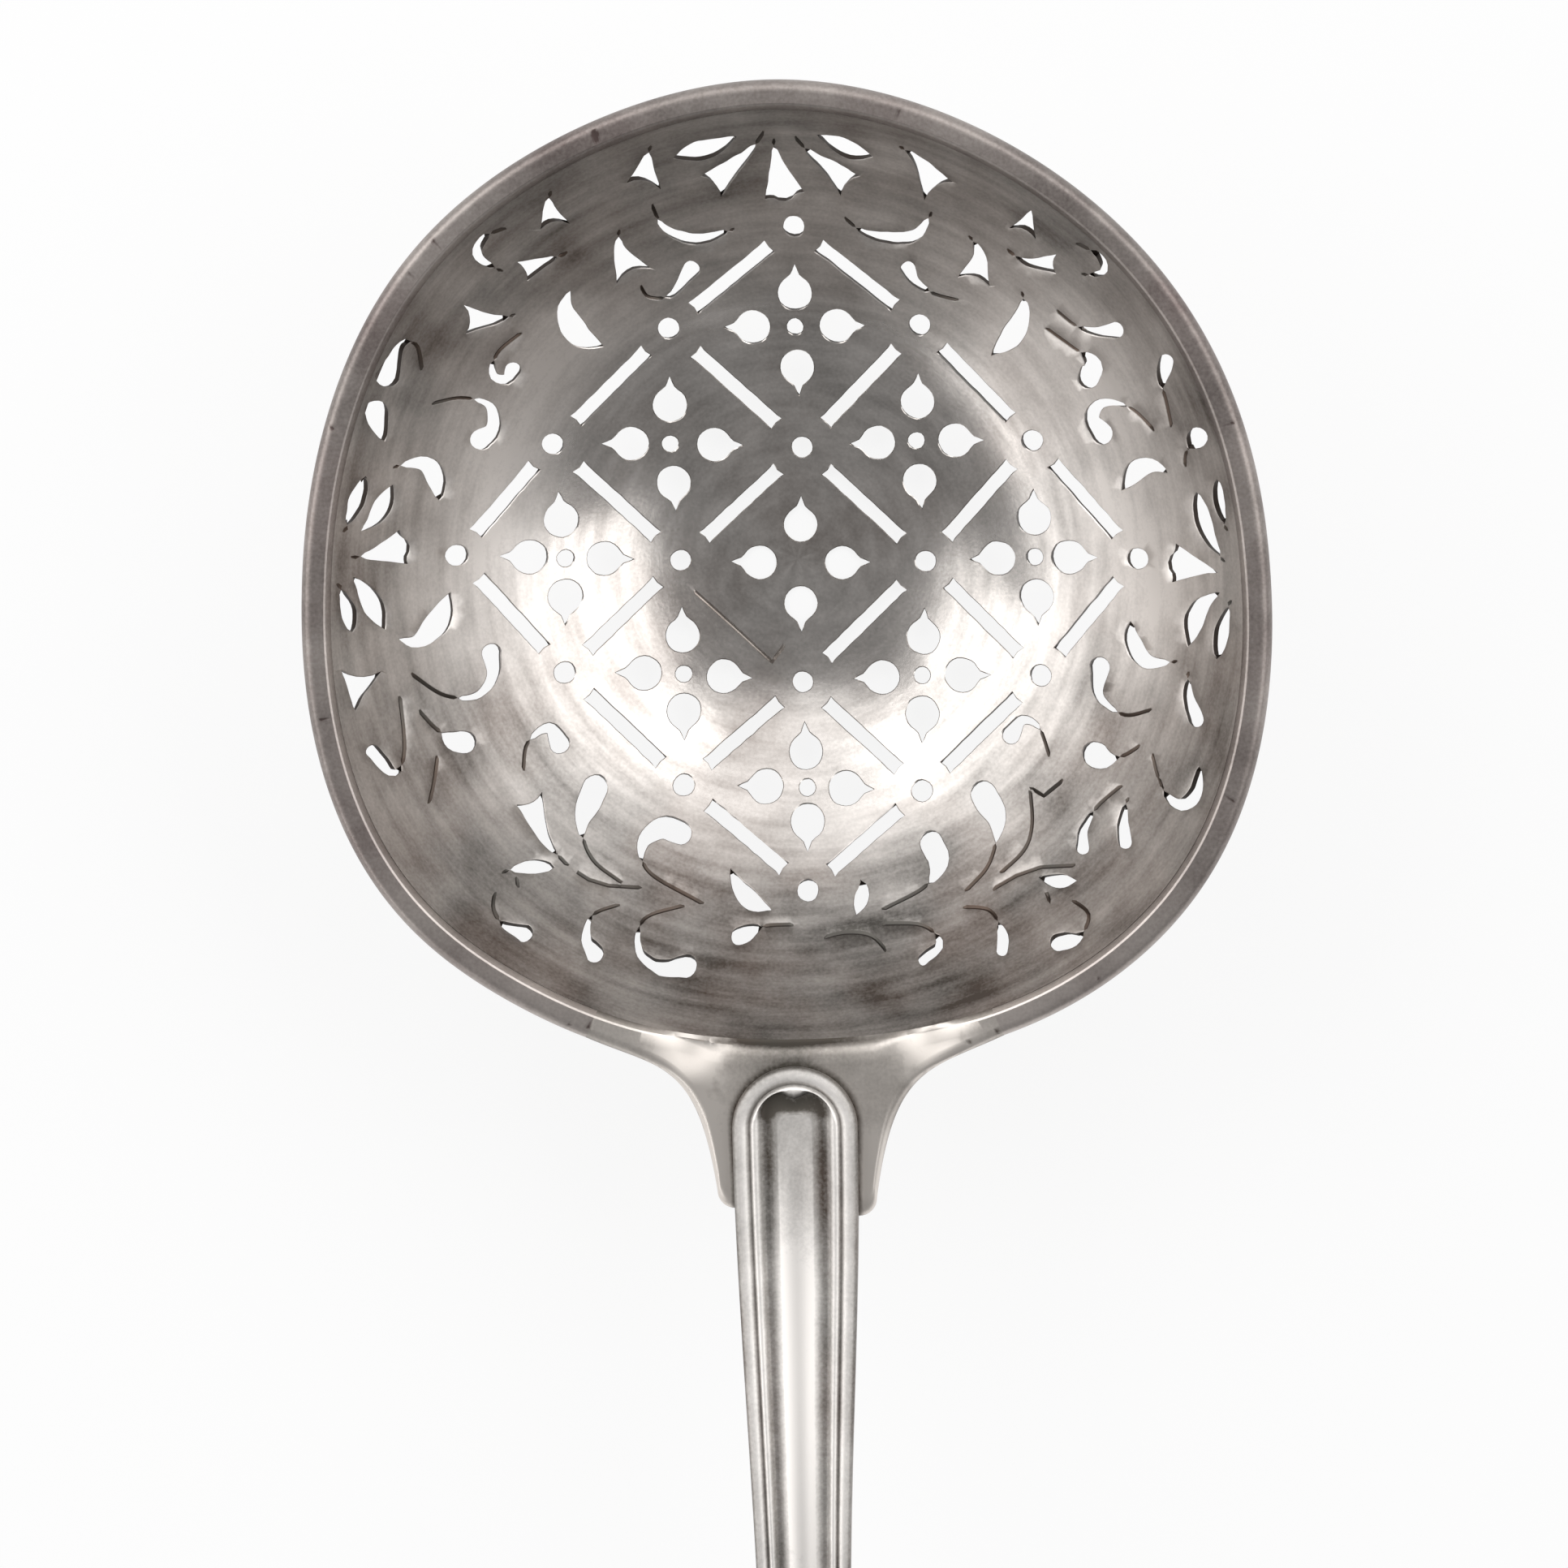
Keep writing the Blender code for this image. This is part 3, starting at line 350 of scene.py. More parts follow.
NORTH_EAST_SPRAY = (
    ("petal", 2.5, (8.8, 30.8), (10.2, 29.5), (11.5, 27.4)),
    ("leaf", 0.9, (4.4, 25.6), (6.2, 24.3), (9.4, 24.1), (11.0, 25.9)),
    ("petal", 2.4, (13.6, 24.2), (14.3, 22.6), (13.8, 20.7)),
    ("comma", 1.1, (12.7, 19.3), (10.9, 19.8), (9.5, 20.7), (9.0, 21.7)),
    ("petal", 2.1, (18.3, 26.2), (18.0, 25.4), (17.5, 24.2)),
    ("leaf", 0.5, (21.4, 23.6), (23.0, 22.6), (23.3, 21.4), (21.7, 21.2)),
    ("petal", 1.4, (16.3, 23.1), (17.8, 22.1), (19.9, 22.0)),
    ("leaf", 1.6, (17.4, 20.0), (17.4, 18.4), (16.5, 16.6), (15.0, 15.2)),
    ("comma", 1.2, (19.8, 18.6), (21.3, 17.4), (22.7, 17.0), (24.1, 17.1)),
    ("curl", 1.5, (19.0, 17.3), (20.9, 15.9), (22.4, 14.7), (22.1, 13.5)),
    ("curl", 1.0, (28.1, 10.0), (27.7, 12.0), (27.4, 13.4), (27.7, 14.9)),
    ("curl", 1.4, (29.0, 7.1), (29.1, 8.2), (29.9, 9.4)),
    ("comma", 1.6, (26.9, 9.7), (25.2, 11.3), (23.2, 11.7), (22.3, 10.6), (23.0, 9.4)),
    ("leaf", 1.4, (28.0, 6.5), (26.8, 7.1), (25.6, 6.8), (24.4, 5.2)),
)
SOUTH_WEST_SPRAY = (
    ("leaf", 1.7, (-29.0, -4.4), (-27.5, -4.8), (-26.1, -3.5), (-25.2, -1.4)),
    ("comma", 1.3, (-28.0, -7.1), (-25.8, -8.9), (-23.6, -9.2), (-22.4, -7.8), (-22.5, -6.1)),
    ("petal", 2.5, (-31.5, -9.6), (-31.4, -8.2), (-31.1, -6.5)),
    ("curl", 1.5, (-27.5, -9.8), (-26.4, -11.2), (-25.2, -12.2), (-24.3, -12.5)),
    ("curl", 0.8, (-28.7, -8.6), (-28.4, -12.6), (-29.0, -14.1), (-30.4, -12.3)),
    ("drop", 0.3, (-26.2, -13.2), (-26.4, -15.0), (-26.7, -16.6)),
    ("comma", 1.4, (-20.3, -14.9), (-20.0, -12.9), (-18.5, -11.9), (-17.7, -13.1)),
    ("curl", 1.8, (-13.0, -23.2), (-15.2, -21.4), (-16.0, -19.0), (-15.1, -16.4)),
    ("petal", 1.9, (-16.9, -21.8), (-18.6, -19.8), (-19.8, -16.9)),
    ("leaf", 0.95, (-21.6, -21.8), (-19.6, -21.6), (-17.6, -21.8)),
    ("comma", 1.1, (-22.0, -23.1), (-22.0, -24.2), (-21.3, -25.2), (-19.7, -26.0)),
    ("comma", 1.2, (-13.1, -24.6), (-15.0, -25.2), (-15.4, -26.6), (-14.7, -27.7)),
    ("comma", 1.5, (-8.4, -24.9), (-11.3, -25.7), (-11.6, -27.7), (-10.0, -28.9), (-8.1, -28.9)),
    ("curl", 1.6, (-7.0, -24.9), (-11.0, -22.6), (-11.6, -20.6), (-10.2, -19.5), (-8.8, -19.9)),
    ("leaf", 1.3, (-5.2, -22.3), (-4.4, -23.8), (-3.4, -24.8), (-2.0, -25.4)),
    ("curl", 1.2, (-0.3, -26.4), (-2.6, -26.5), (-4.3, -27.1)),
)
SOUTH_EAST_SPRAY = (
    ("leaf", 1.3, (28.3, -7.2), (26.0, -7.3), (25.0, -5.8), (24.9, -4.2)),
    ("comma", 1.4, (26.4, -10.8), (24.3, -11.3), (22.5, -10.0), (22.6, -7.9)),
    ("drop", 1.1, (29.0, -7.8), (29.0, -9.6), (29.5, -11.2)),
    ("curl", 1.8, (25.5, -13.4), (24.3, -14.2), (23.1, -14.5), (22.1, -14.3)),
    ("leaf", 0.95, (26.8, -15.6), (27.3, -16.8), (28.4, -17.3), (29.4, -16.2), (29.7, -14.2)),
    ("drop", 1.0, (24.5, -17.1), (24.1, -18.7), (24.2, -20.2)),
    ("comma", 1.3, (18.8, -14.6), (18.0, -12.5), (16.8, -12.0), (15.9, -13.1)),
    ("curl", 1.9, (12.4, -24.2), (14.2, -22.2), (14.8, -19.4), (13.8, -17.4)),
    ("leaf", 0.2, (15.0, -22.9), (16.8, -21.2), (17.4, -19.4), (17.3, -17.0)),
    ("comma", 1.0, (24.1, -16.3), (22.2, -18.0), (21.2, -19.6), (21.1, -20.8)),
    ("leaf", 0.95, (17.6, -23.0), (19.0, -23.2), (20.6, -23.1)),
    ("curl", 1.1, (20.3, -24.4), (21.5, -25.3), (20.8, -26.7), (19.2, -27.2)),
    ("curl", 0.85, (12.2, -25.2), (14.2, -25.4), (15.1, -26.8), (15.1, -27.9)),
    ("curl", 0.75, (6.2, -26.4), (9.2, -26.5), (10.5, -27.6), (9.3, -28.7)),
    ("curl", 1.7, (6.2, -25.5), (9.4, -23.9), (10.4, -22.2), (9.9, -20.9)),
    ("leaf", 1.05, (4.5, -23.2), (4.8, -24.0), (4.6, -24.9), (4.3, -25.8)),
    ("leaf", 0.3, (1.9, -27.3), (3.6, -27.0), (5.4, -27.2), (6.6, -28.2)),
)
BORDER = (NORTH_PALMETTE + WEST_PALMETTE + EAST_PALMETTE + NORTH_WEST_SPRAY
          + NORTH_EAST_SPRAY + SOUTH_WEST_SPRAY + SOUTH_EAST_SPRAY)

# Sizes that follow, with the rim's height and the handle's end read from the frame.
HALF_MOUTH = MOUTH_WIDTH / 2
NECK_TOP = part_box("rim_band")[1].z
RIM_Z = NECK_TOP - BAND_CROWN
HANDLE_END = -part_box("handle")[0].y
REST_SAG = REST_RADIUS ** 2 * BOWL_DEPTH / (HALF_MOUTH ** 2 + BOWL_DEPTH ** 2)
CAP_DEPTH = BOWL_DEPTH + REST_SAG
BOWL_RADIUS = (HALF_MOUTH ** 2 + CAP_DEPTH ** 2) / (2 * CAP_DEPTH)
BOWL_CENTRE_Z = RIM_Z + BOWL_RADIUS - CAP_DEPTH
RIM_SLOPE = math.asin(HALF_MOUTH / BOWL_RADIUS)
SEAT_Z = RIM_Z - LIP_SEAT + SOLDER_GAP
WORN_HEIGHT = (NECK_TOP - SEAT_Z) / 1.4
SEAT_SLOPE = math.acos((BOWL_CENTRE_Z - SEAT_Z) / BOWL_RADIUS)
SEAT_SHARE = math.sin(SEAT_SLOPE) / math.sin(RIM_SLOPE)
STEM_TOP = NECK_TOP + SOLDER_GAP + TONGUE_THICKNESS
STEM_BOTTOM = STEM_TOP - STEM_THICKNESS


def mouth_radius(angle):
    """Distance from the bowl's axis to the inner edge of the rim."""
    side, tip = abs(math.cos(angle)), math.sin(angle)
    power = (TIP_SQUARENESS + HANDLE_SQUARENESS + (TIP_SQUARENESS - HANDLE_SQUARENESS) * tip) / 2
    across = side * 2 / MOUTH_WIDTH
    along = abs(tip) * 2 / MOUTH_LENGTH
    hips = 1 - (HIP_SWELL - HIP_LEAN * tip) * tip * side ** 3
    radius = hips * (across ** power + along ** power) ** (-1 / power)
    for degrees, spread, amount in MOUTH_ERRORS:
        away = (math.degrees(angle) - degrees + 180) % 360 - 180
        radius += amount * MM * math.exp(-(away / spread) ** 2)
    return radius


def wall_radius(angle, height, outward):
    """Distance from the axis to the bowl's inner surface, grown outward, at a height."""
    level = (BOWL_RADIUS + outward) ** 2 - (BOWL_CENTRE_Z - height) ** 2
    return mouth_radius(angle) / HALF_MOUTH * math.sqrt(max(level, 0.0))


def raised_point(x, y, sink):
    """Point of the bowl's inside above (x, y), sunk into the metal by a depth."""
    angle = math.atan2(y, x)
    share = math.hypot(x, y) / mouth_radius(angle)
    slope = math.asin(min(share * math.sin(RIM_SLOPE), 0.999))
    reach = sink * math.sin(slope)
    height = BOWL_CENTRE_Z - (BOWL_RADIUS + sink) * math.cos(slope)
    return Vector((x + reach * math.cos(angle), y + reach * math.sin(angle), height))


def ease(share):
    """Smooth step from 0 to 1."""
    share = min(max(share, 0.0), 1.0)
    return share * share * (3 - 2 * share)


# Modelling steps that the pieces share.

def begin(name, points, edges=(), faces=()):
    """Start a piece from drawn points, alone and ready in edit mode."""
    bpy.ops.object.select_all(action="DESELECT")
    mesh = bpy.data.meshes.new(name)
    mesh.from_pydata([tuple(p) for p in points], list(edges), list(faces))
    piece = bpy.data.objects.new(name, mesh)
    bpy.context.scene.collection.objects.link(piece)
    bpy.context.view_layer.objects.active = piece
    piece.select_set(True)
    bpy.ops.object.mode_set(mode="EDIT")
    bpy.ops.mesh.select_all(action="SELECT")
    return piece


def dress(piece, node, slot, wear, polish, *materials):
    """Close a piece: smooth it, give it its wear, polish and metal, and put it in its node's place."""
    if bpy.context.mode != "OBJECT":
        bpy.ops.object.mode_set(mode="OBJECT")
    bpy.ops.object.shade_smooth_by_angle(angle=CREASE)
    piece.data.attributes.new("wear", "FLOAT", "POINT").data.foreach_set("value", wear)
    piece.data.attributes.new("polish", "FLOAT", "POINT").data.foreach_set("value", polish)
    for material in materials:
        piece.data.materials.append(material)
    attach(piece, "root")
    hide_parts(node)


def skin_rings(name, rings, closed_across=False):
    """Skin closed rings one to the next, and close both ends with a face or across the middle."""
    count = len(rings[0])
    points = [p for ring in rings for p in ring]
    faces = []
    for r in range(len(rings) - 1):
        for i in range(count):
            j = (i + 1) % count
            faces.append((r * count + i, r * count + j, (r + 1) * count + j, (r + 1) * count + i))
    if closed_across:
        for start in (0, (len(rings) - 1) * count):
            faces.append((start, start + 1, start + count - 1))
            faces.append((start + count // 2 - 1, start + count // 2, start + count // 2 + 1))
            for i in range(1, count // 2 - 1):
                faces.append((start + i, start + i + 1, start + count - i - 1, start + count - i))
    piece = begin(name, points, (), faces)
    close_ends()
    return piece


def close_ends():
    """Fill what is open and turn all faces outward."""
    bpy.ops.mesh.select_all(action="DESELECT")
    bpy.ops.mesh.select_non_manifold()
    bpy.ops.mesh.edge_face_add()
    bpy.ops.mesh.select_all(action="SELECT")
    bpy.ops.mesh.normals_make_consistent(inside=False)


# Piercing pattern, in drawn millimetres.

def swell(kind, share):
    """Share of the full width at a share of the length of a cut."""
    if kind in ("petal", "lily"):
        return share ** 1.3
    if kind == "drop":
        return math.sin(share * math.pi / 2)
    if kind == "leaf":
        return math.sin(share ** 1.25 * math.pi)
    if kind == "comma":
        return share ** 1.9
    return ease((share - 0.45) / 0.45)


def smooth_path(points, step):
    """Evenly spaced points of a rounded curve through the given points."""
    ends = [points[0] * 2 - points[1]] + points + [points[-1] * 2 - points[-2]]
    dense = []
    for a, b, c, d in zip(ends, ends[1:], ends[2:], ends[3:]):
        for k in range(16):
            t = k / 16
            dense.append(b + ((c - a) * t + (a * 2 - b * 5 + c * 4 - d) * t * t
                              + (b * 3 - a - c * 3 + d) * t ** 3) / 2)
    dense.append(points[-1])
    lengths = [0.0]
    for a, b in zip(dense, dense[1:]):
        lengths.append(lengths[-1] + (b - a).length)
    count = max(3, round(lengths[-1] / step) + 1)
    path, k = [], 0
    for i in range(count):
        goal = lengths[-1] * i / (count - 1)
        while k < len(dense) - 2 and lengths[k + 1] < goal:
            k += 1
        share = (goal - lengths[k]) / (lengths[k + 1] - lengths[k])
        path.append(dense[k].lerp(dense[k + 1], share))
    return path


def brush_cut(kind, width, *points):
    """Outline of a border cut that swells like a brush stroke, and the scribed lines it runs out in."""
    path = smooth_path([Vector(p) for p in points], CUT_STEP)
    count = len(path)
    widths = [width * swell(kind, i / (count - 1)) for i in range(count)]
    sawn = [i for i in range(count) if widths[i] > SAW_WIDTH]
    if not sawn:
        return [], [path]
    first, last = sawn[0], sawn[-1]
    left, right = [], []
    for i in range(first, last + 1):
        along = (path[min(i + 1, count - 1)] - path[max(i - 1, 0)]).normalized()
        side = Vector((-along.y, along.x))
        left.append(path[i] + side * widths[i] / 2)
        right.append(path[i] - side * widths[i] / 2)
    tip, half = path[last], widths[last] / 2
    if kind in BLUNT_ENDS:
        end = [tip + (side * s + along * a) * width for s, a in BLUNT_ENDS[kind]]
    elif kind == "leaf":
        end = path[last + 1:last + 2]
    else:
        turns = [math.pi * (0.5 - k / 8) for k in range(1, 8)]
        end = [tip + (along * math.cos(a) + side * math.sin(a)) * half for a in turns]
    stems = [run for run in (path[:first + 2], path[last - 1:]) if len(run) > 3]
    return path[max(first - 1, 0):first] + left + end + right[::-1], stems


def dot(place, width):
    """Round hole."""
    count = round(math.pi * width / CUT_STEP)
    turns = (2 * math.pi * k / count for k in range(count))
    return [place + Vector((math.cos(a), math.sin(a))) * width / 2 for a in turns]


def slot(start, end):
    """Straight saw cut on the line between two nodes, nicked square at its ends."""
    middle, along = (start + end) / 2, (end - start) / 2 * SLOT_SHARE
    tip = along.normalized() * SLOT_FLARE
    side = Vector((-along.y, along.x)).normalized()
    half = side * SLOT_WIDTH / 2
    count = round(along.length * 2 / CUT_STEP)
    edge = [middle - along * (1 - 2 * k / count) for k in range(1, count)]
    ear = side * SLOT_FLARE / 2
    near = [middle - along - tip + half + ear, middle - along, middle - along - tip - half - ear]
    far = [middle + along + tip - half - ear, middle + along, middle + along + tip + half + ear]
    return near + [p - half for p in edge] + far + [p + half for p in edge[::-1]]


def drop(middle, node):
    """Round hole with a nib drawn out towards a node."""
    along = (node - middle).normalized() * DROP_LENGTH
    side = Vector((-along.y, along.x)).normalized() * DROP_WIDTH
    place = middle + (node - middle) * DROP_SHARE
    outline = [place + along * a + side * s for a, s in DROP_NIB]
    for k in range(19):
        a = math.radians(DROP_MOUTH + (360 - 2 * DROP_MOUTH) * k / 18)
        outline.append(place + along * DROP_ROUND * math.cos(a) + side * 0.5 * math.sin(a))
    return outline + [place + along * a - side * s for a, s in DROP_NIB[:0:-1]]


def lattice_cuts():
    """Outlines of the dots, slots and drops that make the lattice of diamonds."""
    nodes = {(i, j): Vector(p) for i, row in enumerate(LATTICE_NODES) for j, p in enumerate(row)}
    cuts = [dot(place, NODE_DOT) for place in nodes.values()]
    for (i, j), place in nodes.items():
        for other in ((i + 1, j), (i, j + 1)):
            if other in nodes and ((i, j), other) != SCRIBED_SLOT:
                cuts.append(slot(place, nodes[other]))
    for i, row in enumerate(LATTICE_MIDDLES):
        for j, place in enumerate(row):
            middle = Vector(place)
            if i != 1 or j != 1:
                cuts.append(dot(middle, MIDDLE_DOT))
            for corner in ((i, j), (i + 1, j), (i, j + 1), (i + 1, j + 1)):
                cuts.append(drop(middle, nodes[corner]))
    return cuts


def hand_sawn(cut):
    """Give an outline the slight wobble of a piercing saw, in metres."""
    wobbled = []
    for p in cut:
        stray = noise.noise_vector(Vector((p.x, p.y, 0.0)) * WOBBLES_PER_MM)
        wobbled.append((p + stray.xy * SAW_WOBBLE) * MM)
    return wobbled


def widened(outline, distance):
    """An outline moved outward by a distance, point by point."""
    moved = []
    for before, here, after in zip(outline[-1:] + outline, outline, outline[1:] + outline[:1]):
        along = (after - before).normalized()
        moved.append(here + Vector((along.y, -along.x)) * distance)
    return moved


def turned_left(outline):
    """The outline running anticlockwise."""
    area = sum(a.cross(b) for a, b in zip(outline, outline[1:] + outline[:1]))
    return outline if area > 0 else outline[::-1]


def lip_outline():
    """Edge of the sheet, where it meets the rim band's seat."""
    count = round(2 * math.pi * HALF_MOUTH / LIP_STEP)
    outline = []
    for k in range(count):
        angle = 2 * math.pi * k / count
        outline.append(Vector((math.cos(angle), math.sin(angle))) * mouth_radius(angle) * SEAT_SHARE)
    return outline


def line_runs(lines):
    """Scribed lines as runs of points, in drawn millimetres."""
    runs = []
    for line in lines:
        run = [Vector(line[0])]
        for a, b in zip(line, line[1:]):
            run += smooth_path([Vector(a), Vector(b)], CUT_STEP)[1:]
        runs.append(run)
    return runs


def beside(run, distance):
    """A run of points moved sideways by a distance."""
    moved = []
    for before, here, after in zip(run[:1] + run, run, run[1:] + run[-1:]):
        along = (after - before).normalized()
        moved.append(here + Vector((-along.y, along.x)) * distance)
    return moved


def draw_sheet():
    """Draw the sheet: its lip and cuts, the worn edge round each cut, and the scribed lines."""
    noise.seed_set(WOBBLE_SEED)
    border = [brush_cut(*cut) for cut in BORDER]
    cuts = lattice_cuts() + [outline for outline, _ in border if outline]
    cuts = [turned_left(hand_sawn(cut)) for cut in cuts]
    lines = [(run, SCRIBE_DEPTH) for run in line_runs(SCRIBED_LINES)]
    lines += [(run, STEM_DEPTH) for run in line_runs(STEM_LINES)]
    lines += [(run, STEM_DEPTH) for _, stems in border for run in stems]
    points, edges, loops, sinks = [], [], [], {}
    for outline in [lip_outline()] + cuts:
        loops.append(list(range(len(points), len(points) + len(outline))))
        points.extend(outline)
    for cut in cuts:
        start = len(points)
        points.extend(widened(cut, EDGE_WEAR_WIDTH))
        edges += [(start + k, start + (k + 1) % len(cut)) for k in range(len(cut))]
    for run, depth in lines:
        for share in (-0.5, 0.0, 0.5):
            start = len(points)
            points.extend(p * MM for p in beside(run, SCRIBE_WIDTH * share))
            edges += [(start + k, start + k + 1) for k in range(len(run) - 1)]
            if share == 0.0:
                sinks.update({start + k: depth for k in range(1, len(run) - 1)})
    for widening in (-SCRIBE_WIDTH, 0.0, SCRIBE_WIDTH):
        start, ring = len(points), dot(Vector(SCRIBED_RING), SCRIBED_RING_WIDTH + widening)
        points.extend(p * MM for p in ring)
        edges += [(start + k, start + (k + 1) % len(ring)) for k in range(len(ring))]
        if widening == 0.0:
            sinks.update({start + k: SCRIBED_RING_DEPTH for k in range(len(ring))})
    return points, edges, loops, sinks


def sheet_grid(points):
    """Even points over the sheet, clear of what is drawn on it."""
    drawn = kdtree.KDTree(len(points))
    for i, p in enumerate(points):
        drawn.insert((p.x, p.y, 0.0), i)
    drawn.balance()
    reach = int(MOUTH_LENGTH / SHEET_STEP)
    grid = []
    for row in range(-reach, reach):
        for column in range(-reach, reach):
            place = Vector((column + row % 2 / 2, row * SHEET_ROW)) * SHEET_STEP
            inside = place.length < mouth_radius(math.atan2(place.y, place.x)) * SEAT_SHARE
            if inside and drawn.find((place.x, place.y, 0.0))[2] > SHEET_STEP * SHEET_CLEARANCE:
                grid.append(place)
    return grid


def hammer_dent(x, y):
    """Depth of the planishing marks at a place of the sheet."""
    broad = noise.noise(Vector((x, y, 0.0)) / HAMMER_SIZE)
    fine = noise.noise(Vector((y, x, HAMMER_SIZE)) * 2 / HAMMER_SIZE)
    return HAMMER_DEPTH * (broad + 0.4 * fine)


def bowl_wear_and_shade(place):
    """Wear of the bowl: a rubbed ring low on the walls, tarnish towards tip, neck and rim, painted shade on
    the wall towards the neck, blotches.
    """
    reach, angle = place.xy.length, abs(math.atan2(place.x, place.y))
    middle = RIGHT_RUBBED_RING if place.x > 0 else LEFT_RUBBED_RING
    side = TIP_RUBBED + (1 - TIP_RUBBED) * ease((angle - TIP_TARNISH) / TARNISH_SPREAD)
    ring = math.exp(-((reach - middle) / RUBBED_RING_WIDTH) ** 2)
    ring *= side * ease((NECK_TARNISH - angle) / TARNISH_SPREAD)
    wall = ease((reach - WALL_START) / WALL_BLEND)
    # Painted shade, darker towards the neck.
    painted_shade = NECK_SHADE * ease((-place.y - NECK_SHADE_START) / WALL_BLEND)
    wear = FLOOR_WEAR - (FLOOR_WEAR - WALL_WEAR) * wall - painted_shade
    wear += ring * (RING_WEAR - wear)
    blotch = noise.noise(place / BLOTCH_SIZE) + noise.noise(place / FINE_BLOTCH_SIZE) / 2
    return wear + BLOTCH_WEAR * blotch * wall


def bowl_polish(place):
    """Polish of the bowl: bright on the floor, duller up the wall."""
    return 1 - ease((place.xy.length - POLISH_END) / POLISH_BLEND)


def make_bowl():
    """Saw the flat sheet, raise it into a bowl, and give it its wall."""
    points, edges, loops, sinks = draw_sheet()
    points += sheet_grid(points)
    flat, _, triangles, sources, _, owners = delaunay_2d_cdt(points, edges, loops, 0, 1e-8)
    metal = [t for t, owner in zip(triangles, owners) if list(owner) == [0]]
    used = sorted({i for triangle in metal for i in triangle})
    number = {i: k for k, i in enumerate(used)}
    faces = [[number[i] for i in triangle] for triangle in metal]
    piece = begin("pierced_bowl_silver", [(flat[i].x, flat[i].y, 0.0) for i in used], (), faces)
    bpy.ops.mesh.select_all(action="DESELECT")
    bpy.ops.mesh.select_non_manifold(use_wire=False, use_verts=False)
    bpy.ops.object.mode_set(mode="OBJECT")
    sunk = {}
    for vertex in piece.data.vertices:
        x, y, _ = vertex.co
        inward = mouth_radius(math.atan2(y, x)) * SEAT_SHARE - math.hypot(x, y)
        dent = hammer_dent(x, y) * ease(inward / HAMMER_SIZE)
        sink = max((sinks.get(i, 0.0) for i in sources[used[vertex.index]]), default=0.0)
        # Painted shade: the stem lines are darkened and dulled.
        painted_shade = STEM_SHADE if sink == STEM_DEPTH else 0.0
        if vertex.select and inward > LIP_STEP / 4:
            sink = EDGE_WEAR_DEPTH
        vertex.co = raised_point(x, y, dent + sink * CUT_OPENING)
        if sink > 0:
            sunk[vertex.co.to_tuple(6)] = (raised_point(x, y, dent + sink), painted_shade)
    piece.data.materials.append(RAISED_SILVER)
    piece.data.materials.append(SHADED_SAWN_SILVER)
    wall = piece.modifiers.new("wall", "SOLIDIFY")
    wall.thickness = BOWL_WALL
    wall.offset = -1.0
    # Painted shade: the cut walls, and the sheet's edge at the lip, take the dark sawn silver.
    wall.material_offset_rim = 1
    bpy.ops.object.modifier_apply(modifier="wall")
    wear, polish = [], []
    for vertex in piece.data.vertices:
        place, painted_shade = sunk.get(vertex.co.to_tuple(6), (vertex.co, 0.0))
        vertex.co = (place.x, place.y, max(place.z, 0.0))
        wear.append(bowl_wear_and_shade(place) - painted_shade)
        polish.append(bowl_polish(place) - painted_shade)
    dress(piece, "pierced_bowl", "bowl_silver", wear, polish)


def half_round(reach, rise, squareness):
    """Rounded outer edge from top to bottom, as (distance out, height against its middle)."""
    edge = []
    for k in range(21):
        a = math.pi * (0.5 - k / 20)
        out = abs(math.cos(a)) ** (2 / squareness)
        up = math.copysign(abs(math.sin(a)) ** (2 / squareness), math.sin(a))
        edge.append((reach * out, rise * up))
    return edge


def band_section():
    """Section of the rim band, as (distance out from the mouth, height against the rim)."""
    seat = SEAT_Z - RIM_Z
    middle, rise = (BAND_CROWN - BAND_HEIGHT) / 2, (BAND_CROWN + BAND_HEIGHT) / 2
    section = [(wall_radius(0.0, SEAT_Z, 0.0) - HALF_MOUTH, seat)]
    section += [(out * MM, BAND_CROWN + up * MM) for out, up in RUBBED_LIP]
    for out, up in half_round(BAND_REACH, rise, BAND_SQUARENESS):
        section.append((BAND_WIDTH - BAND_REACH + out, middle + up))
    section.append((wall_radius(0.0, RIM_Z - BAND_HEIGHT, BOWL_WALL) - HALF_MOUTH, -BAND_HEIGHT))
    section.append((wall_radius(0.0, SEAT_Z, BOWL_WALL) - HALF_MOUTH, seat))
    return section


def solder_pit(place):
    """How far a place of rim or neck is sunk in a pit."""
    sunk = 0.0
    for degrees, out, radius, depth in SOLDER_PITS:
        angle = math.radians(degrees)
        reach = mouth_radius(angle) + out * MM
        away = (place.xy - Vector((math.cos(angle), math.sin(angle))) * reach).length / (radius * MM)
        sunk = max(sunk, depth * (1 - away * away))
    return sunk * MM


def rubbed_wing(place):
    """How much a place of rim or neck lies where the wings were rubbed down."""
    angle = math.atan2(place.x, -place.y)
    middle = RIGHT_WING_RUBBED if angle > 0 else -LEFT_WING_RUBBED
    return math.exp(-((angle - middle) / WING_RUBBED_SPREAD) ** 2)


def worn_down(place):
    """A place of the top of rim or neck, lowered by dents, pits and rubbing towards the mouth."""
    out = place.xy.length - mouth_radius(math.atan2(place.y, place.x))
    slope = rubbed_wing(place) * WING_DROP * (1 - ease(out / WING_RUBBED_WIDTH))
    dent = abs(noise.noise(place / RIM_DENT_SIZE)) * RIM_DENT
    near_top = ease(1 - (NECK_TOP - place.z) / WORN_HEIGHT)
    return place - Vector((0.0, 0.0, (slope + dent + solder_pit(place)) * near_top))


def rim_wear(place):
    """Wear of rim and neck: bright on the rubbed wings, lighter towards the neck, dark in pits."""
    blotch = noise.noise(place / RIM_BLOTCH) * 0.6 + noise.noise(place / RIM_SPECK) * 0.5
    angle = abs(math.atan2(place.x, -place.y))
    near_neck = NECK_RUBBED * ease((NECK_RUBBED_END - angle) / (NECK_RUBBED_END - BAND_OPENING / 2))
    rubbed = rubbed_wing(place) * (WING_WEAR + blotch)
    return RIM_WEAR + near_neck + rubbed - solder_pit(place) / BLACK_PIT


